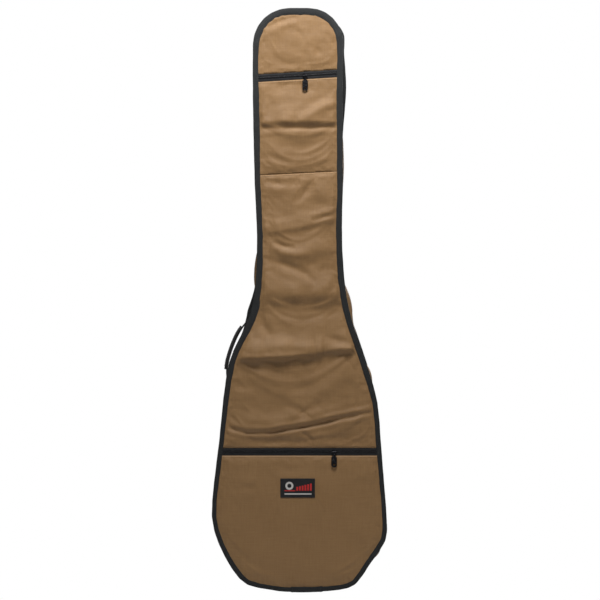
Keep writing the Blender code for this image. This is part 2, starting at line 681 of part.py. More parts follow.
def make_strap(side, name, parent):
    """A padded shoulder strap down the back, with its webbing, ladder lock and anchor."""
    back = HALF_DEPTH
    x = side * STRAP_X
    pad = [(x + side * step, back + lift, z) for step, lift, z in PAD_ROUTE]
    finish_piece("strap_pad_" + name, strip_mesh(pad, (1.0, 0.0, 0.0), PAD_WIDTH, PAD_THICK), FABRIC, parent)
    lock_x = x + side * LOCK_STEP
    lock_foot = LOCK_TOP - LOCK_LENGTH
    lock = box_mesh((lock_x - LOCK_HALF, back + LOCK_DEPTH[0], lock_foot),
                    (lock_x + LOCK_HALF, back + LOCK_DEPTH[1], LOCK_TOP))
    finish_piece("strap_buckle_" + name, lock, PLASTIC, parent)
    web = [(lock_x, back + WEB_LIFT, lock_foot - WEB_START)]
    web += [(lock_x + side * step, back + lift, z) for step, lift, z in WEB_ROUTE]
    finish_piece("strap_webbing_" + name, strip_mesh(web, (1.0, 0.0, 0.0), WEB_WIDTH, WEB_THICK),
                 WEBBING, parent)
    foot_x = lock_x + side * WEB_ROUTE[-1][0]
    anchor = box_mesh((foot_x - FOOT_HALF, back + GAP, FOOT_SPAN[0]),
                      (foot_x + FOOT_HALF, back + SEWN_THICK, FOOT_SPAN[1]))
    finish_piece("strap_anchor_" + name, anchor, WEBBING, parent)


def make_back(parent):
    """The back panel with its straps and hang loop."""
    edge = inset_outline(SEAM_INSET)
    finish_piece("back_panel", plate_mesh(edge, HALF_DEPTH, HALF_DEPTH - PANEL), FABRIC, parent)
    make_hang_loop(parent)
    yoke = box_mesh((-YOKE_HALF, HALF_DEPTH + GAP, YOKE_SPAN[0]),
                    (YOKE_HALF, HALF_DEPTH + SEWN_THICK, YOKE_SPAN[1]))
    finish_piece("strap_yoke", yoke, WEBBING, parent)
    for side, name in ((-1, "left"), (1, "right")):
        make_strap(side, name, parent)


def main():
    clear_scene()
    bag = place(bpy.data.objects.new("bag_layout", None), None)
    bag.location = Vector(OFFSET) * MM
    shell_half(-1, bag, "front")
    shell_half(1, bag, "rear")
    make_spine(bag)
    make_front_panels(bag)
    front_zip("head_zip", HEAD_ZIP_X, HEAD_ZIP_Z, HEAD_ZIP_SLOPE, bag)
    front_zip("pocket_zip", POCKET_ZIP_X, POCKET_ZIP_Z, 0.0, bag)
    make_front_slider("head_zip", bag, HEAD_ZIP_X, HEAD_ZIP_Z, HEAD_ZIP_SLOPE)
    make_front_slider("pocket_zip", bag, POCKET_ZIP_X, POCKET_ZIP_Z, 0.0)
    make_main_sliders(bag)
    make_handle(bag)
    make_back(bag)


main()
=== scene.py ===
"""The looks of the padded gig bag: its cloth, bindings, zips, webbing and label."""

import logging
import math
from dataclasses import dataclass, field
from enum import Enum
from typing import Callable, Optional, Sequence

import bmesh
import bpy
import numpy as np
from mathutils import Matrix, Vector, noise
from mathutils.geometry import delaunay_2d_cdt


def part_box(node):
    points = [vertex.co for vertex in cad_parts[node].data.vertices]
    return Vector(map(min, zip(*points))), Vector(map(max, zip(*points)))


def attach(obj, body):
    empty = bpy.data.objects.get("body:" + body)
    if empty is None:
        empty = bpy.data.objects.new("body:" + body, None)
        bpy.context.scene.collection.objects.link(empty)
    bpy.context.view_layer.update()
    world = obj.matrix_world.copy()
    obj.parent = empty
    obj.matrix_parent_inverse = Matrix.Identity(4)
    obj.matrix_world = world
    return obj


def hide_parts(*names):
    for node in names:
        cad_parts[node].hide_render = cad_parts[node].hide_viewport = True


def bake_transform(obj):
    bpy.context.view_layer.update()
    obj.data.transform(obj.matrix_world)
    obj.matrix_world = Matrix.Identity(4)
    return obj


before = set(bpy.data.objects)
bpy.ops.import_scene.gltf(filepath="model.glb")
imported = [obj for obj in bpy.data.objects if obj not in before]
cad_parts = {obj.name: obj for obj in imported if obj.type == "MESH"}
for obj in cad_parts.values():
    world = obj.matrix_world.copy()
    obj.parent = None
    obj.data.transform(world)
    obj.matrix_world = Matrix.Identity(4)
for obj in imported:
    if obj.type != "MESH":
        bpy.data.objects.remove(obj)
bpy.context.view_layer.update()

LOG = logging.getLogger("gig_bag")
MM = 0.001
CLOTH_MAP = "cloth"
BAG_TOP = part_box("front_binding")[1].z
FRONT_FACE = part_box("body_panel")[0].y
BACK_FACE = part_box("back_panel")[1].y
ZIP_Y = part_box("main_zip_tape_front")[1].y + 0.3 * MM
PANEL_INSET = 1.3 * MM
WEB_INSET = 11.8 * MM
BINDING_WIDTH = 12.5 * MM
LABEL_LIFT = 4.2 * MM

Array = np.ndarray
Obj = bpy.types.Object
Point = tuple[float, float]


# Finishes ------------------------------------------------------------------------------------


class Pattern(Enum):
    """How a cloth's yarns show."""

    WEAVE = "weave"
    RIBS = "ribs"


class NodeSketch:
    """Adds and joins nodes of one tree with short calls."""

    def __init__(self, tree: bpy.types.NodeTree) -> None:
        """Keeps the tree.

        Args:
            tree: the node tree to work in.
        """
        self.tree = tree

    def add(self, kind: str, **values: object) -> bpy.types.Node:
        """Adds a node and sets its properties.

        Args:
            kind: the node's type name.
            **values: properties of the node.

        Returns:
            The new node.
        """
        made = self.tree.nodes.new(kind)
        for name, value in values.items():
            setattr(made, name, value)
        return made

    def join(self, source: bpy.types.NodeSocket, target: bpy.types.NodeSocket) -> None:
        """Links an output to an input."""
        self.tree.links.new(source, target)

    def math(self, operation: str, *terms: object) -> bpy.types.NodeSocket:
        """A Math node.

        Args:
            operation: what it works out.
            *terms: numbers or sockets.

        Returns:
            Its result.
        """
        made = self.add("ShaderNodeMath", operation=operation)
        for socket, term in zip(made.inputs, terms):
            self.feed(term, socket)
        return made.outputs[0]

    def feed(self, term: object, socket: bpy.types.NodeSocket) -> None:
        """Sets a socket's value, or links it if the term is a socket."""
        if isinstance(term, bpy.types.NodeSocket):
            self.join(term, socket)
        else:
            socket.default_value = term

    def noise(self, vector: bpy.types.NodeSocket, scale: float, detail: float = 2.0) -> bpy.types.NodeSocket:
        """A noise value over the surface.

        Args:
            vector: where it is read.
            scale: its fineness.
            detail: how many finer layers it has.

        Returns:
            The noise's value.
        """
        made = self.add("ShaderNodeTexNoise")
        self.join(vector, made.inputs["Vector"])
        made.inputs["Scale"].default_value = scale
        made.inputs["Detail"].default_value = detail
        return made.outputs["Fac"]

    def arch(self, value: bpy.types.NodeSocket) -> bpy.types.NodeSocket:
        """A rounded arch over each whole step of a value."""
        return self.math("ABSOLUTE", self.math("SINE", self.math("MULTIPLY", value, math.pi)))

    def blend(
        self, share: bpy.types.NodeSocket, first: Sequence[float], second: Sequence[float],
        target: bpy.types.NodeSocket,
    ) -> None:
        """Feeds a colour between two to a socket.

        Args:
            share: how much of the second colour shows.
            first: the first colour.
            second: the second colour.
            target: the socket to feed.
        """
        made = self.add("ShaderNodeMix", data_type="RGBA")
        self.join(share, made.inputs[0])
        made.inputs[6].default_value = (*first, 1.0)
        made.inputs[7].default_value = (*second, 1.0)
        self.join(made.outputs[2], target)

    def bump(
        self, height: bpy.types.NodeSocket, strength: float, distance: float, target: bpy.types.NodeSocket
    ) -> None:
        """Raises a surface by a height.

        Args:
            height: the height's socket.
            strength: how strongly it shows.
            distance: how high it stands, in metres.
            target: the shader's Normal socket.
        """
        made = self.add("ShaderNodeBump")
        made.inputs["Strength"].default_value = strength
        made.inputs["Distance"].default_value = distance
        self.join(height, made.inputs["Height"])
        self.join(made.outputs[0], target)


Node = bpy.types.Node


def new_group(
    name: str, inputs: Sequence[tuple[str, str, float]], outputs: Sequence[str]
) -> tuple[NodeSketch, Node, Node]:
    """Starts a shader node group.

    Args:
        name: the group's name.
        inputs: name, socket kind and default of each input.
        outputs: the names of its outputs, all numbers.

    Returns:
        A sketch of the group's tree, its input node and its output node.
    """
    tree = bpy.data.node_groups.new(name, "ShaderNodeTree")
    for label, kind, default in inputs:
        socket = tree.interface.new_socket(label, in_out="INPUT", socket_type=kind)
        if kind == "NodeSocketFloat":
            socket.default_value = default
    for label in outputs:
        tree.interface.new_socket(label, in_out="OUTPUT", socket_type="NodeSocketFloat")
    sketch = NodeSketch(tree)
    return sketch, sketch.add("NodeGroupInput"), sketch.add("NodeGroupOutput")


def weave_group() -> bpy.types.NodeTree:
    """A plain weave: warp and weft yarns that cross over and under.

    Returns:
        The group, with the outputs Height and Yarn.
    """
    sketch, source, target = new_group(
        "plain_weave",
        [("Vector", "NodeSocketVector", 0.0), ("Pitch", "NodeSocketFloat", 0.0008),
         ("Slub", "NodeSocketFloat", 0.5)],
        ["Height", "Yarn"],
    )
    split = sketch.add("ShaderNodeSeparateXYZ")
    sketch.join(source.outputs["Vector"], split.inputs[0])
    across = sketch.math("DIVIDE", split.outputs[0], source.outputs["Pitch"])
    along = sketch.math("DIVIDE", split.outputs[1], source.outputs["Pitch"])
    cell = sketch.math("ADD", sketch.math("FLOOR", across), sketch.math("FLOOR", along))
    odd = sketch.math("PINGPONG", cell, 1.0)
    pick = sketch.add("ShaderNodeMix", data_type="FLOAT")
    sketch.join(odd, pick.inputs[0])
    sketch.join(sketch.arch(across), pick.inputs[2])
    sketch.join(sketch.arch(along), pick.inputs[3])
    sketch.join(pick.outputs[0], target.inputs["Height"])
    strands = []
    for scale in ((1.0, 0.06, 1.0), (0.06, 1.0, 1.0)):
        drawn = sketch.add("ShaderNodeVectorMath", operation="MULTIPLY")
        sketch.join(source.outputs["Vector"], drawn.inputs[0])
        drawn.inputs[1].default_value = scale
        strands.append(sketch.noise(drawn.outputs[0], 420.0))
    slub = sketch.math("ADD", *strands)
    slub = sketch.math("MULTIPLY", sketch.math("SUBTRACT", slub, 1.0), source.outputs["Slub"])
    sketch.join(sketch.math("ADD", slub, 0.5), target.inputs["Yarn"])
    return sketch.tree


def ribs_group() -> bpy.types.NodeTree:
    """Fine ribs across a tape, with a rounded top to each.

    Returns:
        The group, with the outputs Height and Yarn.
    """
    sketch, source, target = new_group(
        "tape_ribs",
        [("Vector", "NodeSocketVector", 0.0), ("Pitch", "NodeSocketFloat", 0.0009),
         ("Slub", "NodeSocketFloat", 0.5)],
        ["Height", "Yarn"],
    )
    split = sketch.add("ShaderNodeSeparateXYZ")
    sketch.join(source.outputs["Vector"], split.inputs[0])
    along = sketch.math("DIVIDE", split.outputs[0], source.outputs["Pitch"])
    across = sketch.math("DIVIDE", split.outputs[1], sketch.math("MULTIPLY", source.outputs["Pitch"], 0.5))
    height = sketch.math("ADD", sketch.math("MULTIPLY", sketch.arch(along), 0.7),
                         sketch.math("MULTIPLY", sketch.arch(across), 0.3))
    sketch.join(height, target.inputs["Height"])
    slub = sketch.math("SUBTRACT", sketch.noise(source.outputs["Vector"], 260.0), 0.5)
    slub = sketch.math("MULTIPLY", slub, source.outputs["Slub"])
    sketch.join(sketch.math("ADD", slub, 0.5), target.inputs["Yarn"])
    return sketch.tree


def wear_group() -> bpy.types.NodeTree:
    """Broad soft patches and fine specks, for handling marks and dust.

    Returns:
        The group, with the outputs Patch and Speck.
    """
    sketch, source, target = new_group(
        "handling_wear",
        [("Vector", "NodeSocketVector", 0.0), ("Patch size", "NodeSocketFloat", 0.08)],
        ["Patch", "Speck"],
    )
    scaled = sketch.add("ShaderNodeVectorMath", operation="DIVIDE")
    sketch.join(source.outputs["Vector"], scaled.inputs[0])
    sketch.join(source.outputs["Patch size"], scaled.inputs[1])
    sketch.join(sketch.noise(scaled.outputs[0], 1.0, 4.0), target.inputs["Patch"])
    fine = sketch.noise(source.outputs["Vector"], 900.0, 1.0)
    speck = sketch.math("MAXIMUM", sketch.math("SUBTRACT", fine, 0.66), 0.0)
    sketch.join(sketch.math("MULTIPLY", speck, 5.0), target.inputs["Speck"])
    return sketch.tree


PATTERN_GROUPS: dict[Pattern, bpy.types.NodeTree] = {}
WEAR: list[bpy.types.NodeTree] = []


def build_groups() -> None:
    """Builds the shared effects once."""
    PATTERN_GROUPS[Pattern.WEAVE] = weave_group()
    PATTERN_GROUPS[Pattern.RIBS] = ribs_group()
    WEAR.append(wear_group())


@dataclass(frozen=True)
class Finish:
    """What a piece is dressed in.

    Attributes:
        name: the material's name.
        slot: the record's slot it belongs to.
        colour: its colour, linear.
        shade: its second colour: for a cloth, its darker yarns and the painted shade in the hollows of its
            weave; for a hard piece, where it has rubbed.
    """

    name: str
    slot: str
    colour: tuple[float, float, float]
    shade: tuple[float, float, float]

    def build(self) -> bpy.types.Material:
        """Makes the material, once.

        Returns:
            The material.
        """
        if self.name in bpy.data.materials:
            return bpy.data.materials[self.name]
        made = bpy.data.materials.new(self.name)
        made.use_nodes = True
        sketch = NodeSketch(made.node_tree)
        body = sketch.add("ShaderNodeTexCoord").outputs["Object"]
        wear = sketch.add("ShaderNodeGroup", node_tree=WEAR[0])
        sketch.join(body, wear.inputs["Vector"])
        self.paint(sketch, made.node_tree.nodes["Principled BSDF"].inputs, body, wear)
        return made

    def paint(self, sketch: NodeSketch, shader: bpy.types.NodeInputs, body: bpy.types.NodeSocket,
              wear: Node) -> None:
        """Joins the finish's own nodes to the shader.

        Args:
            sketch: the material's tree.
            shader: the shader's inputs.
            body: where on its body each point is.
            wear: the shared wear effect.
        """
        raise NotImplementedError


@dataclass(frozen=True)
class Cloth(Finish):
    """A woven finish.

    Attributes:
        pattern: how the yarns show.
        pitch: the distance between yarns, in metres.
        depth: how high the yarns stand, in metres.
        rough: its roughness.
        sheen: how much it glows at grazing angles.
    """

    pattern: Pattern = Pattern.WEAVE
    pitch: float = 0.0008
    depth: float = 0.00012
    rough: float = 0.75
    sheen: float = 0.15

    def paint(self, sketch: NodeSketch, shader: bpy.types.NodeInputs, body: bpy.types.NodeSocket,
              wear: Node) -> None:
        """Adds the yarns, their height, painted shade in the hollows between yarn crowns, and the sheen."""
        place = sketch.add("ShaderNodeUVMap", uv_map=CLOTH_MAP).outputs[0]
        yarns = sketch.add("ShaderNodeGroup", node_tree=PATTERN_GROUPS[self.pattern])
        sketch.join(place, yarns.inputs["Vector"])
        yarns.inputs["Pitch"].default_value = self.pitch
        # Painted shade: the low parts of the weave or ribs take the darker colour and the raised yarn crowns
        # the lighter one; yarn slub and the broad wear patches add random tone.
        tone_and_hollow_shade = sketch.math("MULTIPLY_ADD", yarns.outputs["Height"], 0.35, yarns.outputs["Yarn"])
        tone_and_hollow_shade = sketch.math("MULTIPLY_ADD", wear.outputs["Patch"], 0.5, sketch.math("SUBTRACT", tone_and_hollow_shade, 0.3))
        sketch.blend(tone_and_hollow_shade, self.shade, self.colour, shader["Base Color"])
        rough = sketch.math("MULTIPLY_ADD", wear.outputs["Patch"], 0.2, self.rough - 0.1)
        sketch.join(sketch.math("ADD", rough, wear.outputs["Speck"]), shader["Roughness"])
        sketch.bump(yarns.outputs["Height"], 0.6, self.depth, shader["Normal"])
        shader["Sheen Weight"].default_value = self.sheen
        shader["Sheen Roughness"].default_value = 0.45
        shader["Specular IOR Level"].default_value = 0.35


@dataclass(frozen=True)
class Hard(Finish):
    """A moulded, enamelled or metal finish, or a thread.

    Attributes:
        metal: how metallic it is, from 0 to 1.
        rough: its roughness.
        grain: the size of its surface grain, in metres.
    """

    metal: float = 0.0
    rough: float = 0.4
    grain: float = 0.0015

    def paint(self, sketch: NodeSketch, shader: bpy.types.NodeInputs, body: bpy.types.NodeSocket,
              wear: Node) -> None:
        """Adds the grain and the rubbed patches."""
        wear.inputs["Patch size"].default_value = self.grain * 4.0
        grain = sketch.noise(body, 1.0 / self.grain, 3.0)
        mask = sketch.math("MULTIPLY", sketch.math("SUBTRACT", wear.outputs["Patch"], 0.52), 5.0)
        mask = sketch.math("MINIMUM", sketch.math("MAXIMUM", mask, 0.0), 1.0)
        sketch.blend(mask, self.colour, self.shade, shader["Base Color"])
        sketch.join(sketch.math("MULTIPLY_ADD", grain, 0.25, self.rough - 0.12), shader["Roughness"])
        sketch.bump(grain, 0.3, 0.04 * MM, shader["Normal"])
        shader["Metallic"].default_value = self.metal


BROWN = Cloth("coffee_cloth", "shell_fabric", (0.320, 0.184, 0.077), (0.201, 0.109, 0.0435), pitch=0.0009,
              depth=0.00022, rough=0.46, sheen=0.08)
PAD_CLOTH = Cloth("pad_cloth", "pad_fabric", (0.26, 0.16, 0.078), (0.17, 0.10, 0.046), rough=0.7)
TAPE_BLACK = Cloth("binding_rib", "binding_tape", (0.014, 0.0155, 0.016), (0.006, 0.007, 0.0075),
                   Pattern.RIBS, pitch=0.0011, depth=0.0003, rough=0.6, sheen=0.1)
WEBBING = Cloth("webbing_rib", "webbing", (0.018, 0.018, 0.020), (0.007, 0.007, 0.008), Pattern.RIBS,
                pitch=0.0016, depth=0.0005, rough=0.55, sheen=0.12)
ZIP_TAPE = Cloth("zip_tape_weave", "zip_tape", (0.013, 0.013, 0.015), (0.006, 0.006, 0.007), Pattern.RIBS,
                 pitch=0.0007, depth=0.00015, rough=0.65)
LINING = Cloth("lining_cloth", "lining", (0.030, 0.030, 0.033), (0.015, 0.015, 0.017), pitch=0.0006,
               rough=0.7)
THREAD_BROWN = Hard("brown_thread", "shell_fabric", (0.20, 0.12, 0.055), (0.26, 0.16, 0.08), rough=0.6)
THREAD_BLACK = Hard("black_thread", "binding_tape", (0.016, 0.016, 0.018), (0.035, 0.035, 0.038), rough=0.55)
LABEL_BLACK = Cloth("label_satin", "label", (0.014, 0.014, 0.016), (0.006, 0.006, 0.007), Pattern.RIBS,
                    pitch=0.0004, depth=0.00008, rough=0.5)
LABEL_RED = Cloth("label_red", "label", (0.62, 0.030, 0.028), (0.38, 0.016, 0.016), Pattern.RIBS,
                  pitch=0.0005, depth=0.0001, rough=0.5)
LABEL_WHITE = Cloth("label_white", "label", (0.62, 0.60, 0.57), (0.42, 0.40, 0.38), Pattern.RIBS,
                    pitch=0.0005, depth=0.0001, rough=0.5)
COIL = Hard("coil_nylon", "zip_coil", (0.010, 0.010, 0.011), (0.020, 0.020, 0.022), rough=0.35)
ENAMEL = Hard("black_enamel", "zip_metal", (0.014, 0.014, 0.016), (0.10, 0.10, 0.11), metal=0.6, rough=0.32,
              grain=0.0008)
PLASTIC = Hard("moulded_black", "black_plastic", (0.016, 0.016, 0.018), (0.030, 0.030, 0.032), rough=0.42)
FLOOR = Hard("pale_floor", "lining", (0.86, 0.86, 0.86), (0.84, 0.84, 0.84), rough=0.8, grain=0.4)


# Meshes --------------------------------------------------------------------------------------


def put(name: str, data: bpy.types.ID) -> Obj:
    """Puts a mesh, a light or a camera in the scene."""
    obj = bpy.data.objects.new(name, data)
    bpy.context.scene.collection.objects.link(obj)
    return obj


def lay_mesh(
    name: str,
    points: Array,
    uv: Array,
    finish: Finish,
    facing: Optional[Sequence[float]] = None,
    wrap_rows: bool = False,
    wrap_cols: bool = False,
    caps: bool = False,
) -> Obj:
    """Makes a smooth-shaded mesh from rows of points.

    Args:
        name: the piece's name.
        points: rows by columns by three.
        uv: cloth coordinates in metres, with one more row or column where the mesh wraps.
        finish: what it is dressed in.
        facing: a direction its faces point along, for an open sheet.
        wrap_rows: whether the last row joins the first.
        wrap_cols: whether the last column joins the first.
        caps: whether the end rows of a tube are closed.

    Returns:
        The object, at the origin.
    """
    rows, cols = points.shape[:2]
    i, j = np.meshgrid(
        np.arange(rows if wrap_rows else rows - 1), np.arange(cols if wrap_cols else cols - 1), indexing="ij"
    )
    i, j = i.ravel(), j.ravel()
    ni, nj = (i + 1) % rows, (j + 1) % cols
    quads = np.stack([i * cols + j, ni * cols + j, ni * cols + nj, i * cols + nj], 1)
    corners = np.stack([uv[i, j], uv[i + 1, j], uv[i + 1, j + 1], uv[i, j + 1]], 1)
    flat = points.reshape(-1, 3)
    if facing is not None:
        a, b, c = (flat[quads[:, k]] for k in (0, 1, 2))
        if (np.cross(b - a, c - a).sum(axis=0) @ np.asarray(facing)) < 0:
            quads, corners = quads[:, ::-1], corners[:, ::-1]
    faces = [list(map(int, q)) for q in quads]
    ends = []
    if caps:
        ends = [list(range(cols)), [(rows - 1) * cols + k for k in reversed(range(cols))]]
    mesh = bpy.data.meshes.new(name)
    mesh.from_pydata(flat.tolist(), [], faces + ends)
    layer = mesh.uv_layers.new(name=CLOTH_MAP)
    values = np.zeros((len(layer.data), 2), np.float32)
    values[: len(faces) * 4] = corners.reshape(-1, 2)
    layer.data.foreach_set("uv", values.ravel())
    mesh.shade_smooth()
    mesh.materials.append(finish.build())
    obj = put(name, mesh)
    if facing is None:
        turn_outward(mesh)
    mesh.set_sharp_from_angle(angle=math.radians(50.0))
    return obj


def turn_outward(mesh: bpy.types.Mesh) -> None:
    """Makes a closed mesh's faces point outwards."""
    work = bmesh.new()
    work.from_mesh(mesh)
    bmesh.ops.recalc_face_normals(work, faces=work.faces)
    work.to_mesh(mesh)
    work.free()


def thicken(obj: Obj, thickness: float) -> Obj:
    """Gives an open sheet a wall behind its face.

    Args:
        obj: the sheet.
        thickness: the wall, in metres.

    Returns:
        The same object.
    """
    step = obj.modifiers.new("wall", "SOLIDIFY")
    step.thickness = thickness
    step.offset = -1.0
    return obj


def wobble(along: Array, seed: float, length: float) -> Array:
    """A smooth wandering value between about -1 and 1.

    Args:
        along: where it is read, in metres.
        seed: which wandering it is.
        length: its longest wave, in metres.

    Returns:
        One value for each place.
    """
    total = np.zeros_like(along, dtype=float)
    for k, (share, size) in enumerate(((1.0, 0.5), (0.61, 0.3), (0.37, 0.2), (0.23, 0.12))):
        phase = seed * (1.7 + k) + 2.1 * k
        total += size * np.sin(2 * math.pi * along / (length * share) + phase)
    return total


def soft_step(value: Array, low: float, high: float) -> Array:
    """0 below low, 1 above high, and smooth between."""
    t = np.clip((value - low) / (high - low), 0.0, 1.0)
    return t * t * (3.0 - 2.0 * t)


def lengths_along(points: Array) -> Array:
    """How far along a line each of its points is."""
    return np.concatenate([[0.0], np.cumsum(np.linalg.norm(np.diff(points, axis=0), axis=1))])


def cloth_places(along: Array, across: Array) -> Array:
    """Cloth coordinates for rows and columns of points."""
    return np.stack(np.meshgrid(along, across, indexing="ij"), 2)


def box_mesh(name: str, low: Sequence[float], high: Sequence[float], finish: Finish, edge: float) -> Obj:
    """A block with rounded edges and cloth coordinates from its size.

    Args:
        name: the piece's name.
        low: its lowest corner.
        high: its highest corner.
        finish: what it is dressed in.
        edge: the radius of its edges, in metres.

    Returns:
        The object.
    """
    mesh = bpy.data.meshes.new(name)
    work = bmesh.new()
    bmesh.ops.create_cube(work, size=1.0)
    for vert in work.verts:
        for axis in range(3):
            vert.co[axis] = low[axis] if vert.co[axis] < 0 else high[axis]
    bmesh.ops.bevel(work, geom=work.edges[:] + work.verts[:], offset=edge, segments=3, affect="EDGES",
                    profile=0.5)
    layer = work.loops.layers.uv.new(CLOTH_MAP)
    for face in work.faces:
        flat = max(range(3), key=lambda k: abs(face.normal[k]))
        first, second = [k for k in (2, 0, 1) if k != flat][:2]
        for loop in face.loops:
            loop[layer].uv = (loop.vert.co[first], loop.vert.co[second])
    work.to_mesh(mesh)
    work.free()
    mesh.shade_smooth()
    mesh.set_sharp_from_angle(angle=math.radians(60.0))
    mesh.materials.append(finish.build())
    return put(name, mesh)


def path_object(points: Array, closed: bool) -> Obj:
    """A line of edges through the points, for a Geometry Nodes tree to follow.

    Args:
        points: one row for each point.
        closed: whether the last joins the first.

    Returns:
        The object.
    """
    mesh = bpy.data.meshes.new("guide")
    count = len(points)
    edges = [(k, k + 1) for k in range(count - 1)] + ([(count - 1, 0)] if closed else [])
    mesh.from_pydata(points.tolist(), edges, [])
    return put("guide", mesh)


# What repeats --------------------------------------------------------------------------------


def repeat_tree(name: str, follow: bool) -> bpy.types.NodeTree:
    """A tree that lays small rounded grains along a line.

    Args:
        name: the tree's name.
        follow: whether a grain's long side turns with the line, or keeps the Turn input.

    Returns:
        The tree, with the inputs Line, Pitch, Size, Turn and Finish.
    """
    tree = bpy.data.node_groups.new(name, "GeometryNodeTree")
    sockets = [("Line", "NodeSocketGeometry"), ("Pitch", "NodeSocketFloat"), ("Size", "NodeSocketVector"),
               ("Turn", "NodeSocketRotation"), ("Finish", "NodeSocketMaterial")]
    for label, kind in sockets:
        tree.interface.new_socket(label, in_out="INPUT", socket_type=kind)
    tree.interface.new_socket("Grains", in_out="OUTPUT", socket_type="NodeSocketGeometry")
    sketch = NodeSketch(tree)
    source = sketch.add("NodeGroupInput")
    target = sketch.add("NodeGroupOutput")
    curve = sketch.add("GeometryNodeMeshToCurve")
    sketch.join(source.outputs["Line"], curve.inputs[0])
    spaced = sketch.add("GeometryNodeResampleCurve", mode="LENGTH")
    sketch.join(curve.outputs[0], spaced.inputs["Curve"])
    sketch.join(source.outputs["Pitch"], spaced.inputs["Length"])
    grain = sketch.add("GeometryNodeMeshUVSphere")
    grain.inputs["Segments"].default_value = 6
    grain.inputs["Rings"].default_value = 5
    grain.inputs["Radius"].default_value = 0.5
    lay = sketch.add("GeometryNodeInstanceOnPoints")
    sketch.join(spaced.outputs[0], lay.inputs["Points"])
    sketch.join(grain.outputs[0], lay.inputs["Instance"])
    sketch.join(source.outputs["Size"], lay.inputs["Scale"])
    if follow:
        turn = sketch.add("FunctionNodeAlignRotationToVector", axis="X")
        sketch.join(sketch.add("GeometryNodeInputTangent").outputs[0], turn.inputs["Vector"])
        sketch.join(turn.outputs[0], lay.inputs["Rotation"])
    else:
        sketch.join(source.outputs["Turn"], lay.inputs["Rotation"])
    real = sketch.add("GeometryNodeRealizeInstances")
    sketch.join(lay.outputs[0], real.inputs[0])
    smooth = sketch.add("GeometryNodeSetShadeSmooth")
    sketch.join(real.outputs[0], smooth.inputs[0])
    dress = sketch.add("GeometryNodeSetMaterial")
    sketch.join(smooth.outputs[0], dress.inputs["Geometry"])
    sketch.join(source.outputs["Finish"], dress.inputs["Material"])
    sketch.join(dress.outputs[0], target.inputs[0])
    return tree


@dataclass
class Repeats:
    """Lays stitches and zip teeth with the two trees, and makes each result a plain mesh."""

    trees: dict[bool, bpy.types.NodeTree] = field(default_factory=dict)

    def lay(
        self, name: str, lines: Sequence[tuple[Array, bool]], pitch: float, size: Sequence[float],
        finish: Finish, turn: Optional[Sequence[float]] = None,
    ) -> Obj:
        """Lays grains along lines.

        Args:
            name: the piece's name.
            lines: each line's points, and whether it is closed.
            pitch: the distance between grains, in metres.
            size: a grain's size along its three sides, in metres.
            finish: what it is dressed in.
            turn: a fixed Euler turn, or None to follow the line.

        Returns:
            The piece.
        """
        follow = turn is None
        if follow not in self.trees:
            self.trees[follow] = repeat_tree("stitches" if follow else "teeth", follow)
        tree = self.trees[follow]
        found = []
        for points, closed in lines:
            guide = path_object(points, closed)
            step = guide.modifiers.new("lay", "NODES")
            step.node_group = tree
            keys = {item.name: item.identifier for item in tree.interface.items_tree
                    if item.in_out == "INPUT"}
            step[keys["Pitch"]] = pitch
            step[keys["Size"]] = size
            step[keys["Turn"]] = turn or (0.0, 0.0, 0.0)
            step[keys["Finish"]] = finish.build()
            bpy.context.view_layer.update()
            graph = bpy.context.evaluated_depsgraph_get()
            found.append(bpy.data.meshes.new_from_object(guide.evaluated_get(graph)))
            bpy.data.objects.remove(guide)
        work = bmesh.new()
        for mesh in found:
            work.from_mesh(mesh)
        made = found[0]
        work.to_mesh(made)
        work.free()
        made.name = name
        made.shade_smooth()
        return put(name, made)


REPEATS = Repeats()


def dress(obj: Obj, body: str, finish: Finish, *stands_for: str) -> Obj:
    """Rides a piece on its body and hides the solids it stands for.

    Args:
        obj: the piece.
        body: the body it moves with.
        finish: its finish; not used.
        *stands_for: the CAD nodes it replaces.

    Returns:
        The piece.
    """
    if stands_for:
        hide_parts(*stands_for)
    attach(obj, body)
    LOG.info("%s rides on %s", obj.name, body)
    return obj


@dataclass(frozen=True)
class Thread:
    """How a seam is sewn.

    Attributes:
        pitch: the distance between stitches, in metres.
        size: a stitch's length, width and height, in metres.
        finish: the thread.
    """

    pitch: float = 3.4 * MM
    size: tuple[float, float, float] = (2.5 * MM, 0.75 * MM, 0.75 * MM)
    finish: Finish = THREAD_BLACK

    def sew(self, name: str, lines: Sequence[tuple[Array, bool]], body: str) -> None:
        """Sews along lines.

        Args:
            name: the name of the thread's piece.
            lines: each line's points, and whether it is closed.
            body: the body it rides on.
        """
        dress(REPEATS.lay(name, lines, self.pitch, self.size, self.finish), body, self.finish)


SEAM = Thread()
PANEL_SEAM = Thread(finish=THREAD_BROWN)
LINING_SEAM = Thread(4.4 * MM)
ZIP_SEAM = Thread(2.4 * MM, (1.8 * MM, 0.6 * MM, 0.6 * MM))
HANDLE_SEAM = Thread(2.6 * MM, (2.0 * MM, 0.7 * MM, 0.7 * MM))
STRAP_SEAM = Thread(2.8 * MM, (2.1 * MM, 0.7 * MM, 0.7 * MM))


# The outline ---------------------------------------------------------------------------------


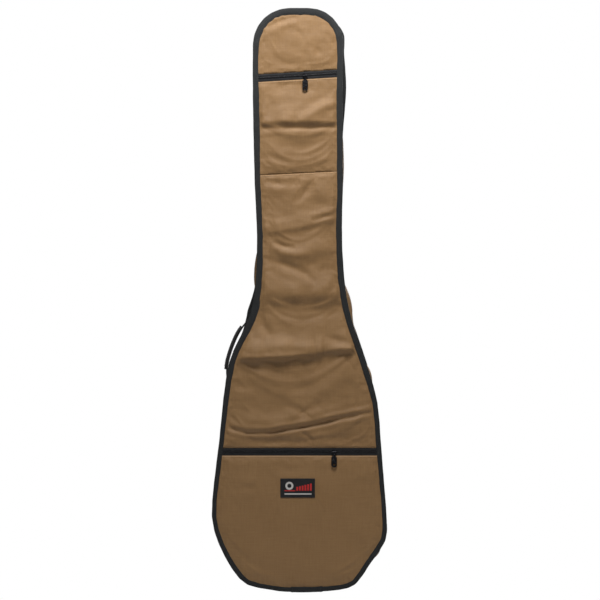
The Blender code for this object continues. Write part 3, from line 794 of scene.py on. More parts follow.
@dataclass
class Outline:
    """The bag's outline, spaced evenly, seen from the front.

    Attributes:
        points: x and z of each point at the outer edge.
        inward: the direction into the bag at each point.
        along: how far round each point is, in metres.
        total: the length round, in metres.
    """

    points: Array
    inward: Array
    along: Array
    total: float

    @classmethod
    def read(cls, node: str = "back_panel", step: float = 4.0 * MM) -> "Outline":
        """Takes the outline from a flat panel's back face.

        Args:
            node: the CAD node.
            step: the spacing of the points.

        Returns:
            The outline.
        """
        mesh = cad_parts[node].data
        level = max(v.co.y for v in mesh.vertices) - 0.05 * MM
        places: dict[tuple[int, int], Point] = {}
        sides: dict[frozenset, int] = {}
        for face in mesh.polygons:
            corners = [mesh.vertices[k].co for k in face.vertices]
            if min(c.y for c in corners) < level:
                continue
            keys = [(round(c.x * 1e5), round(c.z * 1e5)) for c in corners]
            places.update({key: (c.x, c.z) for key, c in zip(keys, corners)})
            for a, b in zip(keys, keys[1:] + keys[:1]):
                sides[frozenset((a, b))] = sides.get(frozenset((a, b)), 0) + 1
        follow: dict[tuple[int, int], list[tuple[int, int]]] = {}
        for pair in (tuple(side) for side, count in sides.items() if count == 1 and len(side) == 2):
            follow.setdefault(pair[0], []).append(pair[1])
            follow.setdefault(pair[1], []).append(pair[0])
        here = min(follow, key=lambda key: abs(key[0]) - key[1])
        chain, last = [here], None
        while True:
            after = [key for key in follow[here] if key != last][0]
            last, here = here, after
            if here == chain[0]:
                break
            chain.append(here)
        ring = np.array([places[key] for key in chain])
        if cls._area(ring) < 0:
            ring = ring[::-1]
        ring = cls._spread(ring, int(3.0 / MM))
        count = len(ring)
        wave = np.fft.fftfreq(count) * 2 * math.pi
        soft = np.exp(-0.5 * (wave * 3.0) ** 2)
        ring = np.stack([np.fft.ifft(np.fft.fft(ring[:, k]) * soft).real for k in (0, 1)], 1)
        inward = cls._inward(ring)
        ring = cls._spread(ring - inward * PANEL_INSET, 0, step)
        lengths = np.linalg.norm(np.roll(ring, -1, 0) - ring, axis=1)
        along = np.concatenate([[0.0], np.cumsum(lengths)[:-1]])
        return cls(ring, cls._inward(ring), along, float(lengths.sum()))

    @staticmethod
    def _area(ring: Array) -> float:
        """Twice the area inside a ring, positive where it runs anticlockwise."""
        after = np.roll(ring, -1, 0)
        return float((ring[:, 0] * after[:, 1] - ring[:, 1] * after[:, 0]).sum())

    @staticmethod
    def _inward(ring: Array) -> Array:
        """The inward direction at each point of an anticlockwise ring."""
        ahead = np.roll(ring, -2, 0) - np.roll(ring, 2, 0)
        ahead /= np.linalg.norm(ahead, axis=1)[:, None]
        return np.stack([-ahead[:, 1], ahead[:, 0]], 1)

    @staticmethod
    def _spread(ring: Array, count: int, step: float = 0.0) -> Array:
        """Spaces a closed ring's points evenly, by count or by step."""
        closed = np.vstack([ring, ring[:1]])
        reach = lengths_along(closed)
        count = count or int(round(reach[-1] / step))
        places = np.linspace(0.0, reach[-1], count, endpoint=False)
        return np.stack([np.interp(places, reach, closed[:, k]) for k in (0, 1)], 1)

    def at(self, inset: float | Array) -> Array:
        """The outline moved inwards.

        Args:
            inset: how far, as one number or one for each point.

        Returns:
            x and z of each point.
        """
        moved = np.asarray(inset, dtype=float)
        return self.points + self.inward * (moved[:, None] if moved.ndim else moved)

    def run(self, x_side: int, low: float, high: float) -> Array:
        """Point numbers on one flank between two heights.

        Args:
            x_side: -1 for the left flank, 1 for the right.
            low: the lower height.
            high: the upper height.

        Returns:
            The numbers, in order.
        """
        z = self.points[:, 1]
        return np.flatnonzero((self.points[:, 0] * x_side > 0.06) & (z > low) & (z < high))

    def rest(self, run: Array) -> Array:
        """The point numbers outside a run, in order from its end, with one shared at each end."""
        count = len(self.points)
        return np.array([(run[-1] + k) % count for k in range(count - len(run) + 2)])

    def flank(self, x_side: int, height: float, inset: float) -> tuple[Array, Array]:
        """Where a flank is at a height.

        Args:
            x_side: -1 for the left flank, 1 for the right.
            height: the height.
            inset: how far inside the outer edge.

        Returns:
            Its x and z, and the direction out of the bag.
        """
        numbers = self.run(x_side, height - 0.02, height + 0.02)
        ring = self.at(inset)
        best = numbers[np.argmin(np.abs(ring[numbers, 1] - height))]
        return ring[best], -self.inward[best]

    def span(self, line: Point, inset: float) -> Point:
        """Where a line across the bag meets the two flanks.

        Args:
            line: its height at x = 0, and its slope.
            inset: how far inside the outer edge it stops.

        Returns:
            The x of its left end and of its right end.
        """
        ring = self.at(inset)
        beyond = ring[:, 1] - line[0] - line[1] * ring[:, 0]
        ends = ring[np.flatnonzero(beyond * np.roll(beyond, -1) < 0), 0]
        return float(ends.min()), float(ends.max())

    def bumps(self, places: Sequence[tuple[int, float, float, float]]) -> Array:
        """Soft bumps along the flanks.

        Args:
            places: for each, its side, how far below the top it is, its half length and its height,
                all but the side in millimetres.

        Returns:
            The height at each point, in metres.
        """
        down = (BAG_TOP - self.points[:, 1]) / MM
        total = np.zeros(len(down))
        for side, middle, half, height in places:
            own = soft_step(side * self.points[:, 0], 20 * MM, 60 * MM)
            total += own * height * MM * np.exp(-(((down - middle) / half) ** 2))
        return total

    def sweep(self, section: Array, run: Optional[Array] = None) -> tuple[Array, Array]:
        """Carries a closed section of inset and y round the outline.

        Args:
            section: columns by two, or points by columns by two where it changes on the way.
            run: the point numbers to follow, or None for all the way round.

        Returns:
            The points, and their cloth coordinates.
        """
        numbers = np.arange(len(self.points)) if run is None else run
        section = np.broadcast_to(section, (len(self.points), *section.shape[-2:]))[numbers]
        flat = self.points[numbers][:, None] + self.inward[numbers][:, None] * section[..., :1]
        points = np.stack([flat[..., 0], section[..., 1], flat[..., 1]], 2)
        closed = np.concatenate([section[0], section[0][:1]])
        beyond = (numbers[-1] + 1) % len(self.points)
        along = lengths_along(self.points[np.append(numbers, beyond)])
        return points, cloth_places(along, lengths_along(closed))

    def path(self, inset: float | Array, y: float | Array, run: Optional[Array] = None) -> Array:
        """A line round the outline, for stitches or teeth."""
        flat = self.at(inset)
        points = np.stack([flat[:, 0], np.broadcast_to(y, len(flat)), flat[:, 1]], 1)
        return points if run is None else points[run]


def rounded(corners: Sequence[Point], radius: float, steps: int = 3) -> Array:
    """Rounds the corners of a closed section.

    Args:
        corners: its corners in order.
        radius: how far from each corner the round begins, in metres.
        steps: the points in each round.

    Returns:
        The section's points.
    """
    found = []
    ring = np.asarray(corners, dtype=float)
    for k, here in enumerate(ring):
        ends = []
        for other in (ring[k - 1], ring[(k + 1) % len(ring)]):
            away = other - here
            size = np.linalg.norm(away)
            ends.append(here + away * min(radius / size, 0.45))
        for t in np.linspace(0.0, 1.0, steps):
            found.append((1 - t) ** 2 * ends[0] + 2 * t * (1 - t) * here + t * t * ends[1])
    return np.array(found)


def wall(points: Sequence[Point], thick: float) -> list[Point]:
    """A closed section from an open one, with its second side further inside the bag."""
    return list(points) + [(u + thick, y) for u, y in reversed(points)]


# Panels --------------------------------------------------------------------------------------


@dataclass(frozen=True)
class Fold:
    """A crease in a panel: a furrow with a low crest above it and below it.

    Attributes:
        line: points along it, across and down from the bag's top, in millimetres.
        depth: how deep its furrow is, in millimetres, or how high a ridge if negative.
        width: its half width, in millimetres.
        upper: the height of the crest above it, in millimetres.
        lower: the height of the crest below it, in millimetres.
        sharp: how much narrower its lower side is than its upper side.
    """

    line: tuple[Point, ...]
    depth: float
    width: float
    upper: float = 0.0
    lower: float = 0.0
    sharp: float = 1.0

    def height(self, x: Array, down: Array) -> Array:
        """How far the cloth stands out because of it.

        Args:
            x: how far across each place is, in millimetres.
            down: how far below the top each place is, in millimetres.

        Returns:
            The heights, in millimetres.
        """
        near = np.full(x.shape, 1e9)
        side = np.zeros(x.shape)
        reach = np.zeros(x.shape)
        ends = np.array(self.line, dtype=float)
        lengths = np.linalg.norm(np.diff(ends, axis=0), axis=1)
        starts = lengths_along(ends)
        for k, (a, b) in enumerate(zip(ends, ends[1:])):
            way = (b - a) / lengths[k]
            dx, dz = x - a[0], down - a[1]
            t = np.clip(dx * way[0] + dz * way[1], 0.0, lengths[k])
            gap = np.hypot(dx - t * way[0], dz - t * way[1])
            cross = way[0] * dz - way[1] * dx
            closer = gap < near
            near = np.where(closer, gap, near)
            side = np.where(closer, np.sign(cross), side)
            reach = np.where(closer, starts[k] + t, reach)
        offset = near * side / self.width
        offset = np.where(offset > 0.0, offset * self.sharp, offset)
        share = reach / starts[-1]
        taper = np.clip(4.0 * share * (1.0 - share), 0.0, 1.0) ** 0.4
        taper = taper * (0.88 + 0.12 * np.sin(reach * 0.11 + self.depth * 3.0))
        shape = -self.depth * np.exp(-offset**2)
        shape += self.upper * np.exp(-((offset + 1.9) / 1.4) ** 2)
        shape += self.lower * np.exp(-((offset - 1.9) / 1.4) ** 2)
        return shape * taper


@dataclass(frozen=True)
class Settle:
    """Lets a panel's slack cloth sag and wrinkle between its sewn edges.

    Attributes:
        frames: how long it settles.
        slack: how much larger than its place the cloth is.
        push: how hard the padding behind presses.
        cap: how far a point may move, in metres.
    """

    frames: int = 16
    slack: float = 0.02
    push: float = 0.5
    cap: float = 1.6 * MM

    def run(self, obj: Obj, free: Array) -> None:
        """Settles the cloth, and leaves no modifier on it.

        Args:
            obj: the panel, before it has a wall.
            free: how free each point is, from 0 where it is sewn to 1.
        """
        sewn = obj.vertex_groups.new(name="sewn")
        sewn.add([int(k) for k in np.flatnonzero(free <= 0.0)], 1.0, "REPLACE")
        step = obj.modifiers.new("settle", "CLOTH")
        cloth = step.settings
        cloth.quality = 4
        cloth.mass = 0.25
        cloth.tension_stiffness = 18.0
        cloth.compression_stiffness = 18.0
        cloth.shear_stiffness = 6.0
        cloth.bending_stiffness = 1.2
        cloth.vertex_group_mass = "sewn"
        cloth.shrink_min = -self.slack
        cloth.use_pressure = True
        cloth.uniform_pressure_force = self.push
        step.collision_settings.use_collision = False
        step.point_cache.frame_start = 1
        step.point_cache.frame_end = self.frames
        scene = bpy.context.scene
        for number in range(1, self.frames + 1):
            scene.frame_set(number)
        settled = obj.evaluated_get(bpy.context.evaluated_depsgraph_get()).data
        start = np.array([v.co for v in obj.data.vertices])
        moved = np.array([v.co for v in settled.vertices]) - start
        obj.modifiers.remove(step)
        obj.vertex_groups.remove(sewn)
        scene.frame_set(1)
        far = np.linalg.norm(moved, axis=1)
        limit = self.cap * np.clip(free, 0.0, 1.0)
        scale = limit * np.tanh(far / np.maximum(limit, 1e-9)) / np.maximum(far, 1e-9)
        obj.data.vertices.foreach_set("co", (start + moved * scale[:, None]).ravel())
        obj.data.update()
        LOG.info("%s settled by %.1f mm at most", obj.name, (far * scale).max() / MM)


@dataclass
class PanelCut:
    """One flat cut of cloth inside the outline, between an upper and a lower line.

    Attributes:
        outline: the bag's outline.
        inset: how far inside the outer edge it stops.
        top: height of its upper edge at x = 0, and that edge's slope, or None for the bag's end.
        foot: the same for its lower edge.
        step: the size of its mesh.
    """

    outline: Outline
    inset: float | Array
    top: Optional[Point] = None
    foot: Optional[Point] = None
    step: float = 3.0 * MM

    def edge(self) -> Array:
        """The cut's edge, as a closed ring of x and z."""
        ring = self.outline.at(self.inset)
        for line, keep in ((self.top, -1.0), (self.foot, 1.0)):
            if line is not None:
                ring = self._clip(ring, line, keep)
        found = []
        for a, b in zip(ring, np.roll(ring, -1, 0)):
            parts = max(1, int(round(np.linalg.norm(b - a) / self.step)))
            found.extend(a + (b - a) * (k / parts) for k in range(parts))
        return np.array(found)

    @staticmethod
    def _clip(ring: Array, line: Point, keep: float) -> Array:
        """The part of a ring above (keep 1) or below (keep -1) a sloping line."""
        found = []
        for a, b in zip(ring, np.roll(ring, -1, 0)):
            da, db = (keep * (p[1] - line[0] - line[1] * p[0]) for p in (a, b))
            if da >= 0:
                found.append(a)
            if da * db < 0:
                found.append(a + (b - a) * (da / (da - db)))
        return np.array(found)

    def fill(self) -> tuple[Array, list[tuple[int, ...]], Array]:
        """Fills the cut with triangles.

        Returns:
            x and z of each point, the triangles, and each point's distance from the edge.
        """
        ring = self.edge()
        low, high = ring.min(0), ring.max(0)
        rows = np.arange(low[1] + self.step, high[1], self.step * 0.866)
        cols = np.arange(low[0], high[0], self.step)
        x, z = np.meshgrid(cols, rows)
        x = x + np.where(np.arange(len(rows)) % 2, self.step / 2, 0.0)[:, None]
        inner = np.stack([x.ravel(), z.ravel()], 1)
        inner = inner[self._inside(ring, inner)]
        inner = inner[self.gap(ring, inner) > 0.6 * self.step]
        places = [Vector(map(float, p)) for p in np.vstack([ring, inner])]
        made = delaunay_2d_cdt(places, [], [list(range(len(ring)))], 1, 1e-7)
        points = np.array([tuple(p) for p in made[0]])
        return points, [tuple(face) for face in made[2]], self.gap(ring, points)

    @staticmethod
    def _inside(ring: Array, points: Array) -> Array:
        """Whether each point is inside the ring."""
        found = np.zeros(len(points), bool)
        for a, b in zip(ring, np.roll(ring, -1, 0)):
            if a[1] == b[1]:
                continue
            crosses = (a[1] > points[:, 1]) != (b[1] > points[:, 1])
            where = a[0] + (points[:, 1] - a[1]) * (b[0] - a[0]) / (b[1] - a[1])
            found ^= crosses & (points[:, 0] < where)
        return found

    @staticmethod
    def gap(ring: Array, points: Array) -> Array:
        """Each point's distance from the ring."""
        near = np.full(len(points), 1e9)
        for a, b in zip(ring, np.roll(ring, -1, 0)):
            way = b - a
            t = np.clip(((points - a) @ way) / max(way @ way, 1e-18), 0.0, 1.0)
            gap = points - a - t[:, None] * way
            near = np.minimum(near, (gap * gap).sum(1))
        return np.sqrt(near)

    def lay(self, name: str, level: float, facing: int, rise: Callable[[Array, Array, Array], Array],
            finish: Finish, thick: float, freedom: Optional[Callable[[Array, Array, Array], Array]] = None,
            slack: float = 0.0) -> Obj:
        """Makes the cut a sheet with a wall.

        Args:
            name: the piece's name.
            level: the y of its edge.
            facing: -1 where its face looks to the front, 1 to the back.
            rise: how far it stands out, from x, z and the distance from its edge.
            finish: what it is dressed in.
            thick: its thickness.
            freedom: how free the cloth is to settle, from x, z and the distance from its edge.
            slack: how much larger than its place the cloth is.

        Returns:
            The piece.
        """
        flat, faces, gap = self.fill()
        out = rise(flat[:, 0], flat[:, 1], gap)
        mesh = bpy.data.meshes.new(name)
        points = np.stack([flat[:, 0], level + facing * out, flat[:, 1]], 1)
        a, b, c = (points[list(faces[0])[k]] for k in range(3))
        if np.cross(b - a, c - a)[1] * facing < 0:
            faces = [face[::-1] for face in faces]
        mesh.from_pydata(points.tolist(), [], faces)
        layer = mesh.uv_layers.new(name=CLOTH_MAP)
        loops = np.array([v for face in faces for v in face])
        layer.data.foreach_set("uv", flat[loops].astype(np.float32).ravel())
        mesh.shade_smooth()
        mesh.materials.append(finish.build())
        obj = put(name, mesh)
        if freedom is not None:
            Settle(slack=slack).run(obj, freedom(flat[:, 0], flat[:, 1], gap))
        return thicken(obj, thick)


def ripple(x: Array, z: Array, size: float, seed: float) -> Array:
    """Gentle uneven swells of cloth, from about -1 to 1.

    Args:
        x: how far across, in metres.
        z: the height, in metres.
        size: the width of a swell, in metres.
        seed: which swells they are.

    Returns:
        One value for each place.
    """
    place = [Vector((a / size, b / size, seed)) for a, b in zip(x, z)]
    return np.array([noise.fractal(p, 0.9, 2.1, 3) for p in place])


HEAD_FOLDS = (
    Fold(((-72, 42), (-40, 28), (-5, 18)), 1.6, 6.0, 0.6, 0.8),
    Fold(((-4, 48), (4, 60), (9, 78)), 0.7, 6.0, 0.2, 0.4),
    Fold(((8, 92), (14, 104), (20, 118)), 0.8, 7.0, 0.3, 0.4),
    Fold(((36, 84), (42, 100)), 0.6, 6.0, 0.2, 0.4),
    Fold(((-60, 112), (-20, 122), (30, 119)), 0.8, 10.0, 0.4, 0.3),
)
POCKET_FOLDS = (
    Fold(((-90, 246), (-40, 240), (10, 240), (96, 243)), -6.0, 34.0, sharp=3.4),
    Fold(((-76, 176), (-20, 168), (70, 172)), 1.6, 12.0),
    Fold(((84, 200), (44, 214), (-4, 240)), -2.6, 11.0),
    Fold(((-84, 257), (-20, 256), (30, 254), (96, 255)), 2.2, 5.5, 0.6, 0.8),
    Fold(((58, 186), (20, 214), (-22, 254)), 1.2, 10.0, 0.6, 0.5),
    Fold(((-78, 180), (-60, 205), (-66, 238)), 0.9, 9.0, 0.4, 0.4),
    Fold(((-40, 292), (10, 300), (62, 294)), 0.9, 14.0, 0.5, 0.5),
    Fold(((-76, 318), (-30, 326), (0, 322)), 0.8, 8.0, 0.5, 0.3),
)
BODY_FOLDS = (
    Fold(((-160, 754), (-40, 746), (20, 741), (50, 743)), -10.2, 42.0, sharp=4.4),
    Fold(((36, 736), (90, 728), (150, 730)), -6.4, 32.0, sharp=3.4),
    Fold(((-92, 484), (0, 468), (92, 442)), -3.4, 24.0, sharp=2.6),
    Fold(((-110, 608), (0, 609), (120, 602)), -5.2, 38.0, sharp=1.6),
    Fold(((-64, 520), (0, 528), (70, 500)), -3.5, 22.0),
    Fold(((30, 372), (60, 404), (84, 420)), -2.6, 20.0),
    Fold(((-100, 776), (-40, 812), (4, 866)), -2.2, 22.0),
    Fold(((112, 770), (60, 808), (12, 866)), -2.2, 22.0),
    Fold(((-140, 884), (-60, 888), (20, 872), (120, 850)), -3.0, 16.0),
    Fold(((-140, 926), (0, 930), (150, 922)), 1.4, 10.0),
    Fold(((-78, 372), (-40, 376), (2, 374)), 1.6, 7.0, 0.3, 1.0),
    Fold(((31, 376), (10, 396), (-13, 418)), 1.8, 7.0, 0.8, 0.6),
    Fold(((26, 456), (52, 448), (80, 444)), 1.6, 5.5, 1.2, 0.8),
    Fold(((-63, 440), (-60, 470), (-64, 500)), 1.3, 7.0, 0.7, 0.6),
    Fold(((-56, 500), (-36, 509), (-10, 514)), 2.0, 6.0, 0.7, 1.4),
    Fold(((-44, 528), (-10, 527), (24, 524)), -1.2, 9.0),
    Fold(((-68, 540), (-20, 553), (8, 566), (36, 588)), 1.2, 7.0, 0.5, 0.5),
    Fold(((-66, 640), (-10, 646), (50, 648), (100, 640)), 3.0, 15.0, 1.0, 1.4),
    Fold(((-83, 640), (-80, 680), (-62, 704)), 1.8, 8.0, 0.9, 0.6),
    Fold(((60, 612), (78, 596), (88, 570)), 1.2, 8.0, 0.5, 0.5),
    Fold(((-106, 728), (-40, 722), (56, 730)), -2.2, 13.0),
    Fold(((-136, 756), (-48, 754), (12, 749), (44, 744)), 1.9, 4.0, 1.3, 0.2),
    Fold(((60, 744), (96, 741), (130, 739)), 1.6, 6.0, 1.4, 0.2),
    Fold(((56, 704), (84, 714), (112, 722)), 1.6, 9.0, 0.6, 0.8),
    Fold(((-30, 846), (6, 866), (46, 850)), 1.4, 9.0, 0.5, 0.7),
    Fold(((130, 806), (148, 814), (166, 826)), 1.2, 5.0, 0.6, 0.5),
    Fold(((168, 864), (95, 877), (27, 893), (-25, 902), (-65, 909), (-114, 909), (-154, 900)),
         3.0, 4.5, 1.4, 2.8),
    Fold(((2, 907), (14, 914), (28, 927)), 1.3, 4.0, 0.5, 0.7),
    Fold(((-160, 888), (-150, 896), (-136, 906)), 1.0, 4.5, 0.5, 0.5),
    Fold(((-152, 800), (-120, 812), (-96, 806)), 0.9, 9.0, 0.4, 0.4),
)
LOWER_FOLDS = (
    Fold(((-152, 1022), (-122, 1029), (-92, 1028)), 0.9, 8.0, 0.5, 0.5),
    Fold(((120, 1010), (150, 1030), (168, 1060)), 0.8, 11.0, 0.4, 0.4),
    Fold(((-120, 1190), (-40, 1204), (60, 1202)), 1.0, 16.0, 0.5, 0.5),
    Fold(((90, 1120), (124, 1150), (140, 1186)), 0.8, 13.0, 0.4, 0.4),
)


@dataclass
class FrontPanels:
    """The four padded panels of the lid's face, with their creases.

    Attributes:
        outline: the bag's outline.
        puff: how far padding lifts a panel's middle, in metres.
        thick: the cloth's thickness, in metres.
        tuck: how far under the binding a panel runs, in metres.
        crease: how strong its creases are.
        slope: the slope of the head zip.
        seam_slope: the slope of the neck seam.
    """

    outline: Outline
    puff: float = 5.0 * MM
    thick: float = 0.9 * MM
    tuck: float = 4.4 * MM
    crease: float = 1.5
    slope: float = 0.061
    seam_slope: float = 0.05

    def head_line(self, side: float) -> Point:
        """The head zip's line, moved up or down by a distance."""
        low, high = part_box("head_zip_slider")
        middle = 0.5 * (low.z + high.z)
        return (middle + side - self.slope * 0.5 * (low.x + high.x), self.slope)

    def seam_line(self, side: float) -> Point:
        """The neck seam's line, moved up or down by a distance."""
        return (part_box("body_panel")[1].z - self.seam_slope * 0.093 + side, self.seam_slope)

    def pocket_line(self, side: float) -> Point:
        """The pocket zip's line, moved up or down by a distance."""
        low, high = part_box("pocket_zip_slider")
        return (0.5 * (low.z + high.z) + side, 0.0)

    def rise(self, folds: Sequence[Fold], seed: float) -> Callable[[Array, Array, Array], Array]:
        """How a panel stands out.

        Args:
            folds: its creases.
            seed: which swells it has.

        Returns:
            A function of x, z and the distance from the edge.
        """
        def shape(x: Array, z: Array, gap: Array) -> Array:
            down = BAG_TOP - z
            gap = self.bare(x, z, gap)
            out = self.puff * (1.0 - np.exp(-gap / (28.0 * MM)))
            free = soft_step(gap, 0.0, 10.0 * MM)
            lift = sum(fold.height(x / MM, down / MM) for fold in folds) * MM * self.crease
            calm = 1.0 - 0.7 * soft_step(down, 0.95, 1.0)
            swell = ripple(x * 0.6, z, 62.0 * MM, seed) * 1.7 * MM * calm
            swell += ripple(x * 0.7, z, 22.0 * MM, seed + 4.0) * 0.4 * MM * calm
            pucker = np.exp(-gap / (13.0 * MM)) * ripple(x, z, 11.0 * MM, seed + 9.0) * 1.5 * MM
            loose = out + free * (lift + swell) + soft_step(gap, 0.0, 4.0 * MM) * pucker
            held = self.under_label(x, z)
            return loose * (1.0 - held) + LABEL_LIFT * held
        return shape

    def bare(self, x: Array, z: Array, gap: Array) -> Array:
        """The distance from what holds the cloth: a zip, a seam or the binding's inner side.

        Args:
            x: how far across.
            z: the height.
            gap: the distance from the cut's edge.

        Returns:
            The distances, zero under the binding.
        """
        covered = BINDING_WIDTH - self.tuck - 1.5 * MM
        rim = PanelCut.gap(self.outline.at(self.tuck), np.stack([x, z], 1))
        return np.minimum(gap, np.maximum(rim - covered, 0.0))

    @staticmethod
    def under_label(x: Array, z: Array) -> Array:
        """How far each place is under the label, from 0 to 1."""
        low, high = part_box("label_patch")
        edge = 26.0 * MM
        across = np.maximum(low.x - x, x - high.x)
        upright = np.maximum(low.z - z, z - high.z)
        return soft_step(-across, -edge, 0.0) * soft_step(-upright, -edge, 0.0)

    def freedom(self, x: Array, z: Array, gap: Array) -> Array:
        """How free the cloth is to settle: 0 near its sewn edges and under the label."""
        return soft_step(self.bare(x, z, gap), 6.0 * MM, 45.0 * MM) * (1.0 - self.under_label(x, z))

    def build(self) -> None:
        """Makes and dresses the four panels."""
        half = 8.2 * MM
        cuts = (
            ("head_cloth", "head_panel", None, self.head_line(half), HEAD_FOLDS, 1.3, 0.004),
            ("upper_pocket_cloth", "upper_pocket_panel", self.head_line(-half), self.seam_line(0.2 * MM),
             POCKET_FOLDS, 2.7, 0.006),
            ("body_cloth", "body_panel", self.seam_line(-0.2 * MM), self.pocket_line(half), BODY_FOLDS,
             4.1, 0.006),
            ("lower_pocket_cloth", "lower_pocket_panel", self.pocket_line(-half), None, LOWER_FOLDS,
             5.9, 0.002),
        )
        for name, node, top, foot, folds, seed, slack in cuts:
            cut = PanelCut(self.outline, self.tuck, top, foot)
            obj = cut.lay(name, FRONT_FACE - 0.4 * MM, -1, self.rise(folds, seed), BROWN, self.thick,
                          self.freedom, slack)
            dress(obj, "lid", BROWN, node)
        self.backings()
        self.stitches()

    def backings(self) -> None:
        """The thin cloth behind the two pocket mouths."""
        above = 18.0 * MM
        cuts = (("upper_backing_cloth", "upper_pocket_backing", self.head_line(above), self.seam_line(0.0)),
                ("lower_backing_cloth", "lower_pocket_backing", self.pocket_line(above), None))
        for name, node, top, foot in cuts:
            cut = PanelCut(self.outline, self.tuck, top, foot, 8.0 * MM)
            level = 0.5 * (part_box(node)[0].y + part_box(node)[1].y)
            obj = cut.lay(name, level, -1, lambda x, z, gap: 0.0 * x, LINING, 0.5 * MM)
            dress(obj, "lid", LINING, node)

    def across(self, line: Point, inset: float, lift: float, folds: Sequence[Fold], seed: float,
               gap: float) -> Array:
        """A line across the front, lying on a panel near its edge.

        Args:
            line: its height at x = 0, and its slope.
            inset: how far inside the outer edge it stops.
            lift: how far above the cloth it lies.
            folds: the panel's creases.
            seed: the panel's swells.
            gap: the line's distance from the panel's edge.

        Returns:
            Its points.
        """
        x = np.arange(*self.outline.span(line, inset), 2.0 * MM)
        z = line[0] + line[1] * x
        out = self.rise(folds, seed)(x, z, np.full(len(x), gap))
        return np.stack([x, FRONT_FACE - 0.4 * MM - out - lift, z], 1)

    def stitches(self) -> None:
        """The rows of thread beside the zips and the neck seam."""
        inset, lift = BINDING_WIDTH + 1.0 * MM, 0.15 * MM
        rows = (
            (self.head_line(11.2 * MM), HEAD_FOLDS, 1.3),
            (self.head_line(-11.2 * MM), POCKET_FOLDS, 2.7),
            (self.pocket_line(11.2 * MM), BODY_FOLDS, 4.1),
            (self.pocket_line(-11.2 * MM), LOWER_FOLDS, 5.9),
            (self.seam_line(-3.2 * MM), BODY_FOLDS, 4.1),
        )
        PANEL_SEAM.sew("panel_stitches", [(self.across(line, inset, lift, folds, seed, 3.0 * MM), False)
                                          for line, folds, seed in rows], "lid")


# Bumps along the flanks: side, middle below the top, half length and height, in millimetres.
REAR_LEAN = ((1, 48.0, 26.0, 6.0), (1, 165.0, 80.0, 9.0), (1, 470.0, 60.0, 2.0), (-1, 650.0, 36.0, 8.5),
             (-1, 575.0, 40.0, 2.5), (1, 720.0, 90.0, 3.0))
WIDE_TAPE = ((-1, 640.0, 70.0, 2.2), (-1, 250.0, 90.0, 0.8), (1, 600.0, 80.0, 0.8))
HANDLE_PUFF = ((-1, 724.0, 24.0, 4.0),)
REAR_PUFF = ((1, 330.0, 120.0, 13.5), (-1, 575.0, 70.0, 20.0), (1, 632.0, 54.0, 18.5), (1, 715.0, 40.0, 8.0),
             (1, 788.0, 34.0, 13.0), (1, 1172.0, 26.0, 15.0),
             (-1, 1020.0, 70.0, 4.0), (-1, 300.0, 90.0, 6.0))


